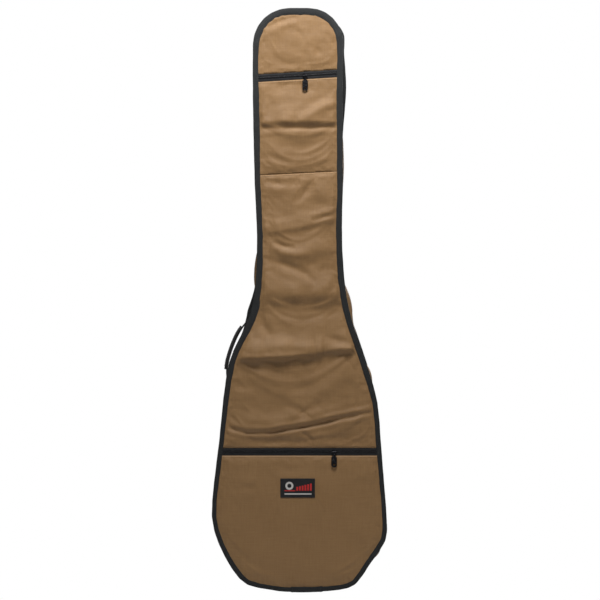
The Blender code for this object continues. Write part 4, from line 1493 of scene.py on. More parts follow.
@dataclass
class Bindings:
    """The two ribbed tapes that wrap the shell's edges.

    Attributes:
        outline: the bag's outline.
        wall: the tape's thickness, in metres.
        edge: how far a side wanders, in metres.
    """

    outline: Outline
    wall: float = 1.0 * MM
    edge: float = 0.9 * MM

    def section(self, side: int, node: str, seed: float) -> Array:
        """The tape's section at each point of the outline.

        Args:
            side: -1 for the front tape, 1 for the back one.
            node: the CAD node.
            seed: which wandering its sides have.

        Returns:
            Points by columns by two.
        """
        low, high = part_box(node)
        face, leg = (low.y, high.y) if side < 0 else (high.y, low.y)
        width, thin = BINDING_WIDTH, self.wall
        base = rounded([
            (0.0, leg), (0.0, face + side * 0.4 * MM), (width, face + side * 0.2 * MM),
            (width, face - side * thin), (thin, face - side * thin), (thin, leg + side * thin),
            (width - 1.5 * MM, leg + side * thin), (width - 1.5 * MM, leg),
        ], 1.1 * MM, 4)
        extra = np.linspace(base[5], base[8], 8)[1:-1]
        base = np.vstack([base[:6], extra, base[6:]])
        along = self.outline.along
        height = self.outline.points[:, 1]
        wander = self.edge * wobble(along, seed, self.outline.total / 9)
        wander += 0.35 * MM * wobble(along, seed + 2, 0.05)
        wander += 2.2 * MM * soft_step(height, -0.10, -0.02) - 2.3 * MM * soft_step(-height, 0.74, 0.9)
        wander += self.outline.bumps(WIDE_TAPE)
        swell = 0.35 * MM * wobble(along, seed + 5, 0.06)
        share = np.clip(base[:, 0] / width, 0.0, 1.0)
        section = np.repeat(base[None], len(along), 0)
        section[..., 0] += wander[:, None] * share**2 - 0.5 * swell[:, None] * (1 - share)
        front = np.abs(base[:, 1] - face) < 1.5 * MM
        bow = np.sin(np.clip(share, 0, 1) * math.pi)
        if side > 0:
            section[..., 0] -= self.outline.bumps(REAR_LEAN)[:, None]
        section[..., 1] += side * front * bow * (0.35 * MM + swell[:, None])
        return section

    def build(self) -> None:
        """Makes the tapes, the front tape's lapped join and the stitches."""
        for side, node, body, seed in ((-1, "front_binding", "lid", 0.7), (1, "rear_binding", "base", 3.9)):
            section = self.section(side, node, seed)
            points, uv = self.outline.sweep(section)
            obj = lay_mesh(node + "_tape", points, uv, TAPE_BLACK, wrap_rows=True, wrap_cols=True)
            dress(obj, body, TAPE_BLACK, node)
            self.lap(side, section, body, node)
            top = np.argmin(np.abs(section[0, :, 0] - (BINDING_WIDTH - 2.4 * MM))
                            + 9.0 * self.depth(side, section))
            line = self.outline.path(section[:, top, 0], section[:, top, 1] + side * 0.15 * MM)
            SEAM.sew(node + "_stitches", [(line, True)], body)

    @staticmethod
    def depth(side: int, section: Array) -> Array:
        """How far each point of the first section lies behind the tape's outermost face."""
        levels = section[0, :, 1]
        return np.abs(levels - (levels.min() if side < 0 else levels.max()))

    def lap(self, side: int, section: Array, body: str, node: str) -> None:
        """The end of the tape laid over its start, at the foot of the bag.

        Args:
            side: -1 for the front tape, 1 for the back one.
            section: the tape's sections.
            body: the body it rides on.
            node: the CAD node, for its name.
        """
        points = self.outline.points
        run = np.flatnonzero((points[:, 1] < BAG_TOP - 1.2) & (np.abs(points[:, 0] - 0.014) < 0.036))
        lapped = section.copy()
        middle = lapped.mean(1, keepdims=True)
        lapped += (lapped - middle) / np.linalg.norm(lapped - middle, axis=2, keepdims=True) * 0.9 * MM
        swept, uv = self.outline.sweep(lapped, run)
        obj = lay_mesh(node + "_lap", swept, uv, TAPE_BLACK, wrap_cols=True, caps=True)
        dress(obj, body, TAPE_BLACK)
        across = [swept[k, self.depth(side, section) < 1.2 * MM] for k in (1, -2)]
        lines = [(line + np.array([0.0, side * 0.1 * MM, 0.0]), False) for line in across if len(line) > 2]
        if lines:
            SEAM.sew(node + "_lap_stitches", lines, body)


@dataclass
class SideWalls:
    """The bag's side walls: padded strips, the main zip between them and the hinge strip.

    Attributes:
        outline: the bag's outline.
        thick: the cloth's thickness, in metres.
        tape: how far a zip tape reaches from the zip's middle, in metres.
        pitch: the spacing of the zip's teeth, in metres.
    """

    outline: Outline
    thick: float = 1.0 * MM
    tape: float = 8.6 * MM
    pitch: float = 1.6 * MM

    def strip(self, name: str, ends: Point, bulge: float, body: str, seed: float,
              nodes: Sequence[str]) -> None:
        """One padded strip.

        Args:
            name: the piece's name.
            ends: the y of its edge by the binding, and by the zip.
            bulge: how far its middle stands out.
            body: the body it rides on.
            seed: which swells it has.
            nodes: the CAD nodes it stands for.
        """
        share = np.linspace(0.0, 1.0, 15)
        bow = np.sin(share * math.pi)[None]
        y = ends[0] + (ends[1] - ends[0]) * share
        along = self.outline.along
        points = self.outline.points
        calm = 1.0 - np.exp(-(((points[:, 1] + 0.72) / 0.13) ** 2)) * (points[:, 0] < 0)
        swell = 1.0 + 0.35 * wobble(along, seed, 0.31) + 0.2 * wobble(along, seed + 3, 0.07)
        lift = bulge * (calm * swell)[:, None] * bow**0.7
        lift = lift + 0.3 * MM * calm[:, None] * np.stack(
            [wobble(along + 0.05 * s, seed + 7 * s, 0.045) for s in share], 1) * bow
        if body == "base":
            lift += self.outline.bumps(REAR_PUFF)[:, None] * calm[:, None] * bow
            lift += self.outline.bumps(REAR_LEAN)[:, None] * (1.0 - share)[None] ** 4
            lift += self.outline.bumps(HANDLE_PUFF)[:, None] * bow
        outer = np.stack([WEB_INSET - lift, np.broadcast_to(y, lift.shape)], 2)
        inner = outer[:, ::-1].copy()
        inner[..., 0] += self.thick
        swept, uv = self.outline.sweep(np.concatenate([outer, inner], 1))
        obj = lay_mesh(name, swept, uv, BROWN, wrap_rows=True, wrap_cols=True)
        dress(obj, body, BROWN, *nodes)

    def build(self) -> None:
        """Makes the walls, the zip and the hinge strip."""
        leg_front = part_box("front_binding")[1].y - 0.6 * MM
        leg_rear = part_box("rear_binding")[0].y + 0.6 * MM
        self.strip("front_side_cloth", (leg_front, ZIP_Y - self.tape + 1.0 * MM), 0.5 * MM, "lid", 1.1,
                   ["front_gusset"])
        self.strip("rear_side_cloth", (leg_rear, ZIP_Y + self.tape - 1.0 * MM), 1.9 * MM, "base", 2.3,
                   ["rear_gusset"])
        low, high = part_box("spine_hinge")
        spine = self.outline.run(-1, low.z, high.z)
        open_run = self.outline.rest(spine)
        for side, half, body in ((-1, "front", "lid"), (1, "rear", "base")):
            self.zip_half(side, half, body, open_run)
        self.hinge(spine)

    def zip_half(self, side: int, half: str, body: str, run: Array) -> None:
        """One tape of the main zip with its teeth and stitches.

        Args:
            side: -1 for the lid's tape, 1 for the base's.
            half: its name.
            body: the body it rides on.
            run: the outline's points it follows.
        """
        inner, outer = ZIP_Y + side * 0.4 * MM, ZIP_Y + side * self.tape
        section = rounded(wall([(WEB_INSET - 0.25 * MM, outer), (WEB_INSET - 0.25 * MM, inner)], 0.8 * MM),
                          0.3 * MM, 3)
        points, uv = self.outline.sweep(section, run)
        tape = lay_mesh(f"main_zip_tape_{half}_cloth", points, uv, ZIP_TAPE, wrap_cols=True, caps=True)
        dress(tape, body, ZIP_TAPE, "main_zip_tape_" + half)
        line = self.outline.path(WEB_INSET - 1.0 * MM, ZIP_Y + side * 1.55 * MM, run)
        teeth = REPEATS.lay(f"main_zip_teeth_{half}", [(line, False)], self.pitch,
                            (1.35 * MM, 2.7 * MM, 1.9 * MM), COIL, (0.0, 0.0, 0.0))
        dress(teeth, body, COIL, "main_zip_coil_" + half)
        seam = self.outline.path(WEB_INSET - 0.35 * MM, ZIP_Y + side * 5.6 * MM, run)
        SEAM.sew(f"main_zip_stitches_{half}", [(seam, False)], body)

    def hinge(self, run: Array) -> None:
        """The cloth strip that bends as the lid opens.

        Args:
            run: the outline's points it follows.
        """
        share = np.linspace(-1.0, 1.0, 25)
        outer = [(WEB_INSET - 0.1 * MM, ZIP_Y - t * self.tape) for t in share]
        points, uv = self.outline.sweep(np.array(wall(outer, 0.8 * MM)), run)
        obj = lay_mesh("spine_cloth", points, uv, BROWN, wrap_cols=True, caps=True)
        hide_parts("spine_hinge")
        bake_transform(obj)
        LOG.info("%s bends between base and lid", obj.name)
        for number, (side, body) in enumerate(((-1, "lid"), (1, "base"))):
            front, back = sorted((ZIP_Y + side * 0.4 * MM, ZIP_Y + side * 4.4 * MM))
            for end, row in (("foot", points[0]), ("top", points[-1])):
                x, _, z = row[: len(share)].mean(0)
                stop = box_mesh(f"zip_end_{end}_{number}", (x - 1.3 * MM, front, z - 7 * MM),
                                (x + 0.7 * MM, back, z + 7 * MM), ZIP_TAPE, 0.4 * MM)
                dress(stop, body, ZIP_TAPE)


@dataclass
class FrontZip:
    """A straight coil zip across the lid's face.

    Attributes:
        name: its CAD name.
        outline: the bag's outline.
        line: its height at x = 0, and its slope.
        half: half of the tape that shows, in metres.
        pitch: the spacing of its teeth, in metres.
    """

    name: str
    outline: Outline
    line: Point
    half: float = 9.4 * MM
    pitch: float = 1.5 * MM

    def build(self) -> None:
        """Makes its tapes, teeth and inner stitches."""
        z, slope = self.line
        level = FRONT_FACE - 0.15 * MM
        cut = PanelCut(self.outline, 3.0 * MM, (z + self.half, slope), (z - self.half, slope), 2.2 * MM)

        def rise(x: Array, height: Array, gap: Array) -> Array:
            beside = np.abs(height - z - slope * x)
            return 0.55 * MM * np.exp(-((beside - 5.2 * MM) / (1.2 * MM)) ** 2) + 0.2 * MM * ripple(
                x, height, 24.0 * MM, z)

        tape = cut.lay(self.name + "_tape_cloth", level, -1, rise, ZIP_TAPE, 0.7 * MM)
        dress(tape, "lid", ZIP_TAPE, self.name + "_tape_upper", self.name + "_tape_lower")
        x = np.linspace(*self.outline.span(self.line, BINDING_WIDTH), 120)
        turn = (0.0, -math.atan(slope), 0.0)
        teeth_line = np.stack([x, np.full(len(x), level - 0.75 * MM), z + slope * x], 1)
        teeth = REPEATS.lay(self.name + "_teeth", [(teeth_line, False)], self.pitch,
                            (1.25 * MM, 1.9 * MM, 5.0 * MM), COIL, turn)
        dress(teeth, "lid", COIL, self.name + "_coil")
        lines = [(teeth_line + np.array([0.0, 0.0, side * 4.4 * MM]), False) for side in (-1, 1)]
        ZIP_SEAM.sew(self.name + "_stitches", lines, "lid")


@dataclass
class Label:
    """The woven patch on the lower pocket, with a plain device.

    Attributes:
        level: the y of its face.
        lift: how far its embroidery stands up, in metres.
    """

    level: float = 0.0
    lift: float = 0.45 * MM

    def block(self, name: str, left: float, right: float, low: float, high: float, finish: Finish) -> None:
        """A raised satin-stitched block.

        Args:
            name: the piece's name.
            left: its left side.
            right: its right side.
            low: its foot.
            high: its top.
            finish: its thread.
        """
        obj = box_mesh(name, (left, self.level - self.lift, low), (right, self.level + 0.2 * MM, high),
                       finish, 0.18 * MM)
        dress(obj, "lid", finish)

    def build(self) -> None:
        """Makes the patch, its border and its device."""
        low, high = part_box("label_patch")
        self.level = FRONT_FACE - 0.4 * MM - LABEL_LIFT - 1.1 * MM
        patch = box_mesh("label_cloth", (low.x, self.level, low.z), (high.x, self.level + 1.6 * MM, high.z),
                         LABEL_BLACK, 0.6 * MM)
        dress(patch, "lid", LABEL_BLACK, "label_patch")
        inner = 1.6 * MM
        corners = [(low.x + inner, low.z + inner), (high.x - inner, low.z + inner),
                   (high.x - inner, high.z - inner), (low.x + inner, high.z - inner)]
        border = []
        for (ax, az), (bx, bz) in zip(corners, corners[1:] + corners[:1]):
            for t in np.linspace(0.0, 1.0, 20, endpoint=False):
                border.append((ax + (bx - ax) * t, self.level - 0.1 * MM, az + (bz - az) * t))
        sewn = REPEATS.lay("label_border", [(np.array(border), True)], 1.1 * MM,
                           (0.9 * MM, 0.7 * MM, 0.7 * MM), LABEL_BLACK)
        sewn.data.uv_layers.new(name=CLOTH_MAP)
        dress(sewn, "lid", LABEL_BLACK)
        width, height = high.x - low.x, high.z - low.z
        self.ring((low.x + 0.26 * width, low.z + 0.62 * height), 0.16 * height, 0.05 * height)
        for k in range(6):
            left = low.x + (0.46 + 0.079 * k) * width
            top = low.z + (0.56 + 0.035 * k) * height
            self.block(f"label_bar_{k}", left, left + 0.052 * width, low.z + 0.36 * height, top, LABEL_RED)
        self.block("label_rule", low.x + 0.12 * width, low.x + 0.43 * width, low.z + 0.34 * height,
                   low.z + 0.39 * height, LABEL_RED)
        self.block("label_line", low.x + 0.12 * width, high.x - 0.10 * width, low.z + 0.16 * height,
                   low.z + 0.225 * height, LABEL_WHITE)

    def ring(self, centre: Point, radius: float, thick: float) -> None:
        """A raised ring.

        Args:
            centre: its x and z.
            radius: its middle radius.
            thick: half the width of its band.
        """
        around = np.linspace(0.0, 2 * math.pi, 48, endpoint=False)
        section = np.array([(-thick, 0.2 * MM), (-thick, -0.8 * self.lift), (0.0, -self.lift),
                            (thick, -0.8 * self.lift), (thick, 0.2 * MM)])
        reach = radius + section[:, 0]
        points = np.stack([
            centre[0] + np.cos(around)[:, None] * reach[None],
            np.broadcast_to(self.level + section[:, 1], (48, 5)),
            centre[1] + np.sin(around)[:, None] * reach[None],
        ], 2)
        uv = cloth_places(np.linspace(0, 2 * math.pi * radius, 49), np.linspace(0, 4 * thick, 6))
        ring = lay_mesh("label_ring", points, uv, LABEL_WHITE, wrap_rows=True, wrap_cols=True)
        dress(ring, "lid", LABEL_WHITE)


# Straps and handles --------------------------------------------------------------------------


def smooth_line(stations: Sequence[Sequence[float]], step: float) -> Array:
    """A smooth line through stations, spaced evenly.

    Args:
        stations: the places it passes.
        step: the spacing of its points.

    Returns:
        Its points.
    """
    p = np.array(stations, dtype=float)
    padded = np.vstack([2 * p[0] - p[1], p, 2 * p[-1] - p[-2]])
    found = []
    for k in range(len(p) - 1):
        a, b, c, d = padded[k : k + 4]
        for t in np.linspace(0.0, 1.0, 12, endpoint=False):
            found.append(0.5 * (2 * b + (c - a) * t + (2 * a - 5 * b + 4 * c - d) * t * t
                                + (3 * b - 3 * c + d - a) * t**3))
    found.append(p[-1])
    line = np.array(found)
    reach = lengths_along(line)
    places = np.linspace(0.0, reach[-1], max(3, int(round(reach[-1] / step))))
    return np.stack([np.interp(places, reach, line[:, k]) for k in range(3)], 1)


@dataclass(frozen=True)
class Band:
    """A length of webbing or a padded strap, flat across one direction.

    Attributes:
        width: its width, in metres.
        thick: its thickness, in metres.
        across: the direction of its width.
        edge: how round its sides are, in metres.
        crown: how far its faces bulge, in metres.
        closed: whether its ends meet.
    """

    width: float
    thick: float
    across: tuple[float, float, float]
    edge: float = 0.7 * MM
    crown: float = 0.0
    closed: bool = False

    def frame(self, line: Array) -> tuple[Array, Array]:
        """The sideways and upward directions along a line."""
        if self.closed:
            ahead = np.roll(line, -1, 0) - np.roll(line, 1, 0)
        else:
            ahead = np.gradient(line, axis=0)
        ahead /= np.linalg.norm(ahead, axis=1)[:, None]
        across = np.broadcast_to(np.array(self.across, dtype=float), line.shape)
        across = across - (across * ahead).sum(1)[:, None] * ahead
        across /= np.linalg.norm(across, axis=1)[:, None]
        return across, np.cross(ahead, across)

    def lay(self, name: str, line: Array, finish: Finish, widths: Optional[Array] = None) -> Obj:
        """Makes the band along a line.

        Args:
            name: the piece's name.
            line: its middle line.
            finish: what it is dressed in.
            widths: a share of its width at each point, or None.

        Returns:
            The piece.
        """
        across, up = self.frame(line)
        half, tall = self.width / 2, self.thick / 2
        section = rounded([(-half, -tall), (half, -tall), (half, tall), (-half, tall)], self.edge, 4)
        lower, upper = section[:8], section[8:]
        spread = [np.linspace(lower[3], lower[4], 9)[1:-1], np.linspace(upper[3], upper[4], 9)[1:-1]]
        section = np.vstack([lower[:4], spread[0], lower[4:], upper[:4], spread[1], upper[4:]])
        bow = self.crown * (1.0 - (section[:, 0] / half) ** 2) * np.sign(section[:, 1])
        side = section[:, 0][None] * (np.ones(len(line)) if widths is None else widths)[:, None]
        points = line[:, None] + across[:, None] * side[..., None]
        points = points + up[:, None] * (section[:, 1] + bow)[None, :, None]
        reach = lengths_along(line)
        if self.closed:
            reach = np.append(reach, reach[-1] + np.linalg.norm(line[0] - line[-1]))
        uv = cloth_places(reach, lengths_along(np.vstack([section, section[:1]])))
        return lay_mesh(name, points, uv, finish, wrap_rows=self.closed, wrap_cols=True,
                        caps=not self.closed)

    def beside(self, line: Array, share: float, lift: float) -> Array:
        """A line on the band's upper or lower face.

        Args:
            line: its middle line.
            share: how far across, from -1 to 1.
            lift: how far above the middle line, in metres.

        Returns:
            The points.
        """
        across, up = self.frame(line)
        return line + across * (share * self.width / 2) + up * lift


def box_stitch(centre: Sequence[float], across: Sequence[float], along: Sequence[float],
               out: Sequence[float]) -> list[tuple[Array, bool]]:
    """A sewn rectangle with a cross in it.

    Args:
        centre: its middle.
        across: half its width, as a direction.
        along: half its length, as a direction.
        out: how far above the cloth it lies, as a direction.

    Returns:
        Lines to stitch.
    """
    c, a, b, n = (np.array(v, dtype=float) for v in (centre, across, along, out))
    corners = [c + n + s * a + t * b for s, t in ((-1, -1), (1, -1), (1, 1), (-1, 1))]
    sides = [*zip(corners, corners[1:] + corners[:1]), *zip(corners[:2], corners[2:])]
    return [(np.linspace(start, end, 12), False) for start, end in sides]


@dataclass
class SideHandle:
    """The carry handle on the left flank.

    Attributes:
        outline: the bag's outline.
        top: the height of its upper root.
        foot: the height of its lower root.
        width: the webbing's width.
        lift: how far its ends stand off the wall.
        middle: the y of its middle.
    """

    outline: Outline
    top: float = -651.2 * MM
    foot: float = -786.2 * MM
    width: float = 25.0 * MM
    lift: float = 8.0 * MM
    middle: float = -34.0 * MM

    def build(self) -> None:
        """Makes the webbing, the grip, the sewn ends and the stitches."""
        ends = [self.outline.flank(-1, z, WEB_INSET)[0] for z in (self.top, self.foot)]
        top, foot = (np.array([p[0], self.middle, p[1]]) for p in ends)
        along = (foot - top) / np.linalg.norm(foot - top)
        out = np.array([along[2], 0.0, -along[0]])
        length = np.linalg.norm(foot - top)
        rise = ((0.0, 1.0), (0.06, 5.5), (0.16, 11.0), (0.3, 15.0), (0.5, 16.5), (0.7, 15.0), (0.84, 11.0),
                (0.94, 5.0), (1.0, 0.0))
        stations = [top + along * (t * length) + out * (self.lift + r * MM) for t, r in rise]
        line = smooth_line(stations, 2.5 * MM)
        band = Band(self.width, 3.4 * MM, (0.0, 1.0, 0.0), 1.2 * MM)
        web = band.lay("handle_webbing", line, WEBBING)
        dress(web, "handle", WEBBING, "side_handle_webbing")
        grip_line = smooth_line([s + out * 2.2 * MM for s in stations[2:7]], 2.5 * MM)
        shape = np.linspace(-1.0, 1.0, len(grip_line))
        grip = Band(self.width + 5.0 * MM, 5.4 * MM, (0.0, 1.0, 0.0), 2.2 * MM, 1.2 * MM)
        obj = grip.lay("handle_grip", grip_line, WEBBING, 1.0 - 0.10 * shape**6)
        dress(obj, "handle", WEBBING, "side_handle_grip")
        lines = [(grip.beside(grip_line[3:-3], share, side * 3.9 * MM), False)
                 for share in (-0.8, 0.8) for side in (-1, 1)]
        SEAM.sew("handle_stitches", lines, "handle")
        for name, node, end, inner, way in (("upper", "handle_anchor_upper", line[0], line[3], 1),
                                            ("lower", "handle_anchor_lower", line[-1], line[-4], -1)):
            self.root(name, node, end, inner, way, out)

    def lean(self, z: float) -> float:
        """How far the wall's middle leans out at a height, with the back tape."""
        nearest = np.argmin(np.abs(self.outline.points[:, 1] - z) + (self.outline.points[:, 0] > 0))
        return 0.15 * float(self.outline.bumps(REAR_LEAN)[nearest])

    def root(self, name: str, node: str, end: Array, inner: Array, way: int, out: Array) -> None:
        """One sewn end: the webbing laid along the wall, turned out to the handle.

        Args:
            name: upper or lower.
            node: the CAD node.
            end: the handle's end.
            inner: a point a little further along the handle.
            way: 1 for the upper end, -1 for the lower.
            out: the direction out of the wall.
        """
        low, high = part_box(node)
        far, near = (high.z, low.z) if way > 0 else (low.z, high.z)
        stations = []
        for share in (0.0, 0.35, 0.7, 1.0):
            z = far + (near - far) * share
            spot, _ = self.outline.flank(-1, z, WEB_INSET - 1.9 * MM)
            spot = spot + out[[0, 2]] * self.lean(z)
            stations.append((spot[0], self.middle, spot[1]))
        stations.append(end + out * -1.8 * MM + (end - inner) * 0.35)
        stations.append(inner - out * 1.9 * MM)
        line = smooth_line(stations, 2.0 * MM)
        band = Band(self.width - 0.6 * MM, 2.0 * MM, (0.0, 1.0, 0.0), 0.8 * MM)
        obj = band.lay(f"handle_root_{name}", line, WEBBING)
        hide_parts(node)
        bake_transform(obj)
        patch = np.array(stations[1])
        way_along = np.array(stations[2]) - np.array(stations[0])
        way_along /= np.linalg.norm(way_along)
        normal = np.array([-abs(way_along[2]), 0.0, way_along[0] * np.sign(way_along[2])])
        lines = box_stitch(patch, (0.0, 9.0 * MM, 0.0), way_along * 6.0 * MM, normal * 1.25 * MM)
        HANDLE_SEAM.sew(f"handle_root_{name}_stitches", lines, "base")


@dataclass
class HangLoop:
    """The loop of webbing behind the head and the patch it is sewn to.

    Attributes:
        width: the webbing's width, in metres.
    """

    width: float = 25.0 * MM

    def build(self) -> None:
        """Makes the loop, the patch and the stitches."""
        low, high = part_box("hang_loop")
        near, far = low.y + 1.2 * MM, high.y - 1.2 * MM
        top = high.z - 1.3 * MM
        stations = [(0, near, low.z + 3 * MM), (0, near, low.z + 22 * MM), (0, near, top - 7 * MM),
                    (0, near + 2.5 * MM, top - 1.5 * MM), (0, near + 6 * MM, top),
                    (0, far - 4.5 * MM, top - 0.6 * MM), (0, far - 0.6 * MM, top - 5 * MM),
                    (0, far - 0.2 * MM, top - 13 * MM), (0, far - 3.4 * MM, top - 32 * MM),
                    (0, near + 4.4 * MM, low.z + 2.2 * MM)]
        line = smooth_line(stations, 1.8 * MM)
        band = Band(self.width, 2.3 * MM, (1.0, 0.0, 0.0), 0.9 * MM)
        dress(band.lay("hang_loop_webbing", line, WEBBING), "base", WEBBING, "hang_loop")
        low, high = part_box("hang_loop_patch")
        patch = box_mesh("hang_loop_patch_cloth", tuple(low), tuple(high), WEBBING, 0.5 * MM)
        dress(patch, "base", WEBBING, "hang_loop_patch")
        centre = ((low.x + high.x) / 2, high.y, (low.z + high.z) / 2)
        lines = box_stitch(centre, (19 * MM, 0, 0), (0, 0, 23 * MM), (0, 0.2 * MM, 0))[:4]
        lines += box_stitch((0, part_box("hang_loop")[0].y + 2.5 * MM, low.z + 19 * MM), (9 * MM, 0, 0),
                            (0, 0, 7 * MM), (0, 0.0, 0))
        STRAP_SEAM.sew("hang_loop_stitches", lines, "base")


@dataclass
class ShoulderStraps:
    """The two padded shoulder straps on the back, with their webbing and ladder locks.

    Attributes:
        pad_width: a pad's width, in metres.
        pad_thick: a pad's thickness, in metres.
        web_width: the webbing's width, in metres.
    """

    pad_width: float = 57.0 * MM
    pad_thick: float = 6.6 * MM
    web_width: float = 25.0 * MM

    def build(self) -> None:
        """Makes the yoke and both straps."""
        low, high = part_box("strap_yoke")
        yoke = box_mesh("yoke_webbing", tuple(low), tuple(high), WEBBING, 0.8 * MM)
        dress(yoke, "base", WEBBING, "strap_yoke")
        lines = []
        for x in (-50 * MM, 0.0, 50 * MM):
            lines += box_stitch((x, high.y, (low.z + high.z) / 2), (19 * MM, 0, 0), (0, 0, 12 * MM),
                                (0, 0.15 * MM, 0))
        STRAP_SEAM.sew("yoke_stitches", lines, "base")
        for side, name in ((-1, "left"), (1, "right")):
            self.strap(side, name)

    def strap(self, side: int, name: str) -> None:
        """One strap.

        Args:
            side: -1 for the left one, 1 for the right.
            name: its name.
        """
        body = "strap_" + name
        route = ((46, 2, -335.2), (50, 5, -413.2), (56, 7, -513.2), (66, 6, -613.2), (76, 4, -699.2))
        line = smooth_line([(side * x * MM, y * MM, z * MM) for x, y, z in route], 4.0 * MM)
        share = np.linspace(-1.0, 1.0, len(line))
        pad = Band(self.pad_width, self.pad_thick, (1.0, 0.0, 0.0), 2.6 * MM, 0.7 * MM)
        widths = 1.0 - 0.22 * soft_step(np.abs(share), 0.86, 1.0)
        cover = pad.lay(f"strap_{name}_pad", line, PAD_CLOTH, widths)
        dress(cover, body, PAD_CLOTH, "strap_pad_" + name)
        wide = self.pad_width / 2 * widths
        across, _ = pad.frame(line)
        trim = []
        for edge, way in (("inner", -1.0), ("outer", 1.0)):
            rim = line + across * (way * (wide - 1.2 * MM))[:, None]
            tape = Band(8.0 * MM, self.pad_thick + 1.4 * MM, (1.0, 0.0, 0.0), 2.6 * MM)
            dress(tape.lay(f"strap_{name}_trim_{edge}", rim[1:-1], TAPE_BLACK), body, TAPE_BLACK)
            for face in (-1, 1):
                lift = face * (self.pad_thick / 2 + 0.85 * MM)
                trim.append((tape.beside(rim[1:-1], -way * 0.55, lift), False))
        face = [(pad.beside(line[4:-4], s, f * (self.pad_thick / 2 + 0.8 * MM)), False)
                for s in (-0.3, 0.3) for f in (-1, 1)]
        SEAM.sew(f"strap_{name}_stitches", trim + face, body)
        self.root(side, name, line, body)
        self.tail(side, name, body)

    def root(self, side: int, name: str, line: Array, body: str) -> None:
        """The webbing that joins the pad's head to the yoke.

        Args:
            side: -1 or 1.
            name: the strap's name.
            line: the pad's middle line.
            body: the strap's body.
        """
        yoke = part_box("strap_yoke")[1]
        x = side * 46 * MM
        stations = [(x, yoke.y + 1.0 * MM, -306 * MM), (x, yoke.y + 1.4 * MM, -318 * MM),
                    (x, yoke.y + 5.0 * MM, -329 * MM), tuple(line[0] + np.array([0.0, 3.0 * MM, -4 * MM])),
                    tuple(line[7] + np.array([0.0, self.pad_thick / 2 + 1.7 * MM, 0.0]))]
        route = smooth_line(stations, 2.5 * MM)
        band = Band(38.0 * MM, 1.8 * MM, (1.0, 0.0, 0.0), 0.8 * MM)
        obj = band.lay(f"strap_{name}_root", route, WEBBING)
        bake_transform(obj)
        lines = box_stitch(route[-7] + np.array([0, 1.1 * MM, 0]), (15 * MM, 0, 0), (0, 0, 8 * MM),
                           (0, 0.1 * MM, 0))
        STRAP_SEAM.sew(f"strap_{name}_root_stitches", lines, body)

    def tail(self, side: int, name: str, body: str) -> None:
        """The ladder lock, the webbing below it and its sewn foot.

        Args:
            side: -1 or 1.
            name: the strap's name.
            body: the strap's body.
        """
        low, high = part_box("strap_buckle_" + name)
        middle = (low + high) / 2
        bars = [(low.z, low.z + 3.4 * MM), (middle.z - 2.2 * MM, middle.z + 2.2 * MM),
                (high.z - 3.4 * MM, high.z)]
        parts = [((low.x, low.y, low.z), (low.x + 2.6 * MM, high.y, high.z)),
                 ((high.x - 2.6 * MM, low.y, low.z), (high.x, high.y, high.z))]
        parts += [((low.x + 0.5 * MM, low.y + 0.9 * MM, a), (high.x - 0.5 * MM, high.y - 0.9 * MM, b))
                  for a, b in bars]
        pieces = [box_mesh(f"lock_{name}_{k}", a, b, PLASTIC, 0.9 * MM) for k, (a, b) in enumerate(parts)]
        lock = join_pieces(f"ladder_lock_{name}", pieces)
        dress(lock, body, PLASTIC, "strap_buckle_" + name)
        x, z = middle.x, middle.z
        loop = smooth_line([(x, low.y + 3.4 * MM, high.z + 14 * MM), (x, high.y - 2.0 * MM, high.z + 4 * MM),
                            (x, high.y - 0.3 * MM, high.z - 1.7 * MM),
                            (x, low.y + 1.0 * MM, high.z - 5.4 * MM)], 1.6 * MM)
        keeper = Band(self.web_width - 1.5 * MM, 1.5 * MM, (1.0, 0.0, 0.0), 0.6 * MM)
        dress(keeper.lay(f"lock_{name}_keeper", loop, WEBBING), body, WEBBING)
        end = (x + side * 17 * MM, -4.0 * MM, -945.2 * MM)
        route = [(x, low.y + 1.2 * MM, z + 5 * MM), (x, high.y + 0.6 * MM, z),
                 (x, low.y + 2.0 * MM, low.z - 4 * MM), (x + side * 4 * MM, 1.6 * MM, -775 * MM),
                 (x + side * 8 * MM, 1.3 * MM, -813 * MM), (x + side * 15 * MM, -2.0 * MM, -913 * MM), end]
        band = Band(self.web_width, 1.6 * MM, (1.0, 0.0, 0.0), 0.6 * MM)
        line = smooth_line(route, 3.0 * MM)
        dress(band.lay(f"strap_{name}_tail", line, WEBBING), body, WEBBING, "strap_webbing_" + name)
        low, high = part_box("strap_anchor_" + name)
        foot = box_mesh(f"strap_{name}_foot", tuple(low), tuple(high), WEBBING, 0.7 * MM)
        dress(foot, "base", WEBBING, "strap_anchor_" + name)
        stations = [line[-4] + np.array([0, -0.2 * MM, 0]), np.array(end),
                    np.array((end[0], high.y + 0.9 * MM, high.z - 6 * MM)),
                    np.array((end[0], high.y + 0.8 * MM, high.z - 22 * MM))]
        joint = Band(self.web_width - 1.0 * MM, 1.5 * MM, (1.0, 0.0, 0.0), 0.6 * MM)
        obj = joint.lay(f"strap_{name}_foot_webbing", smooth_line(stations, 2.0 * MM), WEBBING)
        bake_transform(obj)
        lines = box_stitch(((low.x + high.x) / 2, high.y, (low.z + high.z) / 2), (14.5 * MM, 0, 0),
                           (0, 0, 17 * MM), (0, 0.15 * MM, 0))[:4]
        lines += box_stitch((end[0], high.y + 1.7 * MM, high.z - 15 * MM), (9 * MM, 0, 0), (0, 0, 6 * MM),
                            (0, 0, 0))
        STRAP_SEAM.sew(f"strap_{name}_foot_stitches", lines, "base")


def join_pieces(name: str, pieces: Sequence[Obj]) -> Obj:
    """Puts several pieces' meshes in one object.

    Args:
        name: its name.
        pieces: the pieces, which are removed.

    Returns:
        The object.
    """
    work = bmesh.new()
    for piece in pieces:
        work.from_mesh(piece.data)
    made = pieces[0].data
    work.to_mesh(made)
    work.free()
    for piece in pieces[1:]:
        bpy.data.objects.remove(piece)
    pieces[0].name = name
    made.name = name
    return pieces[0]


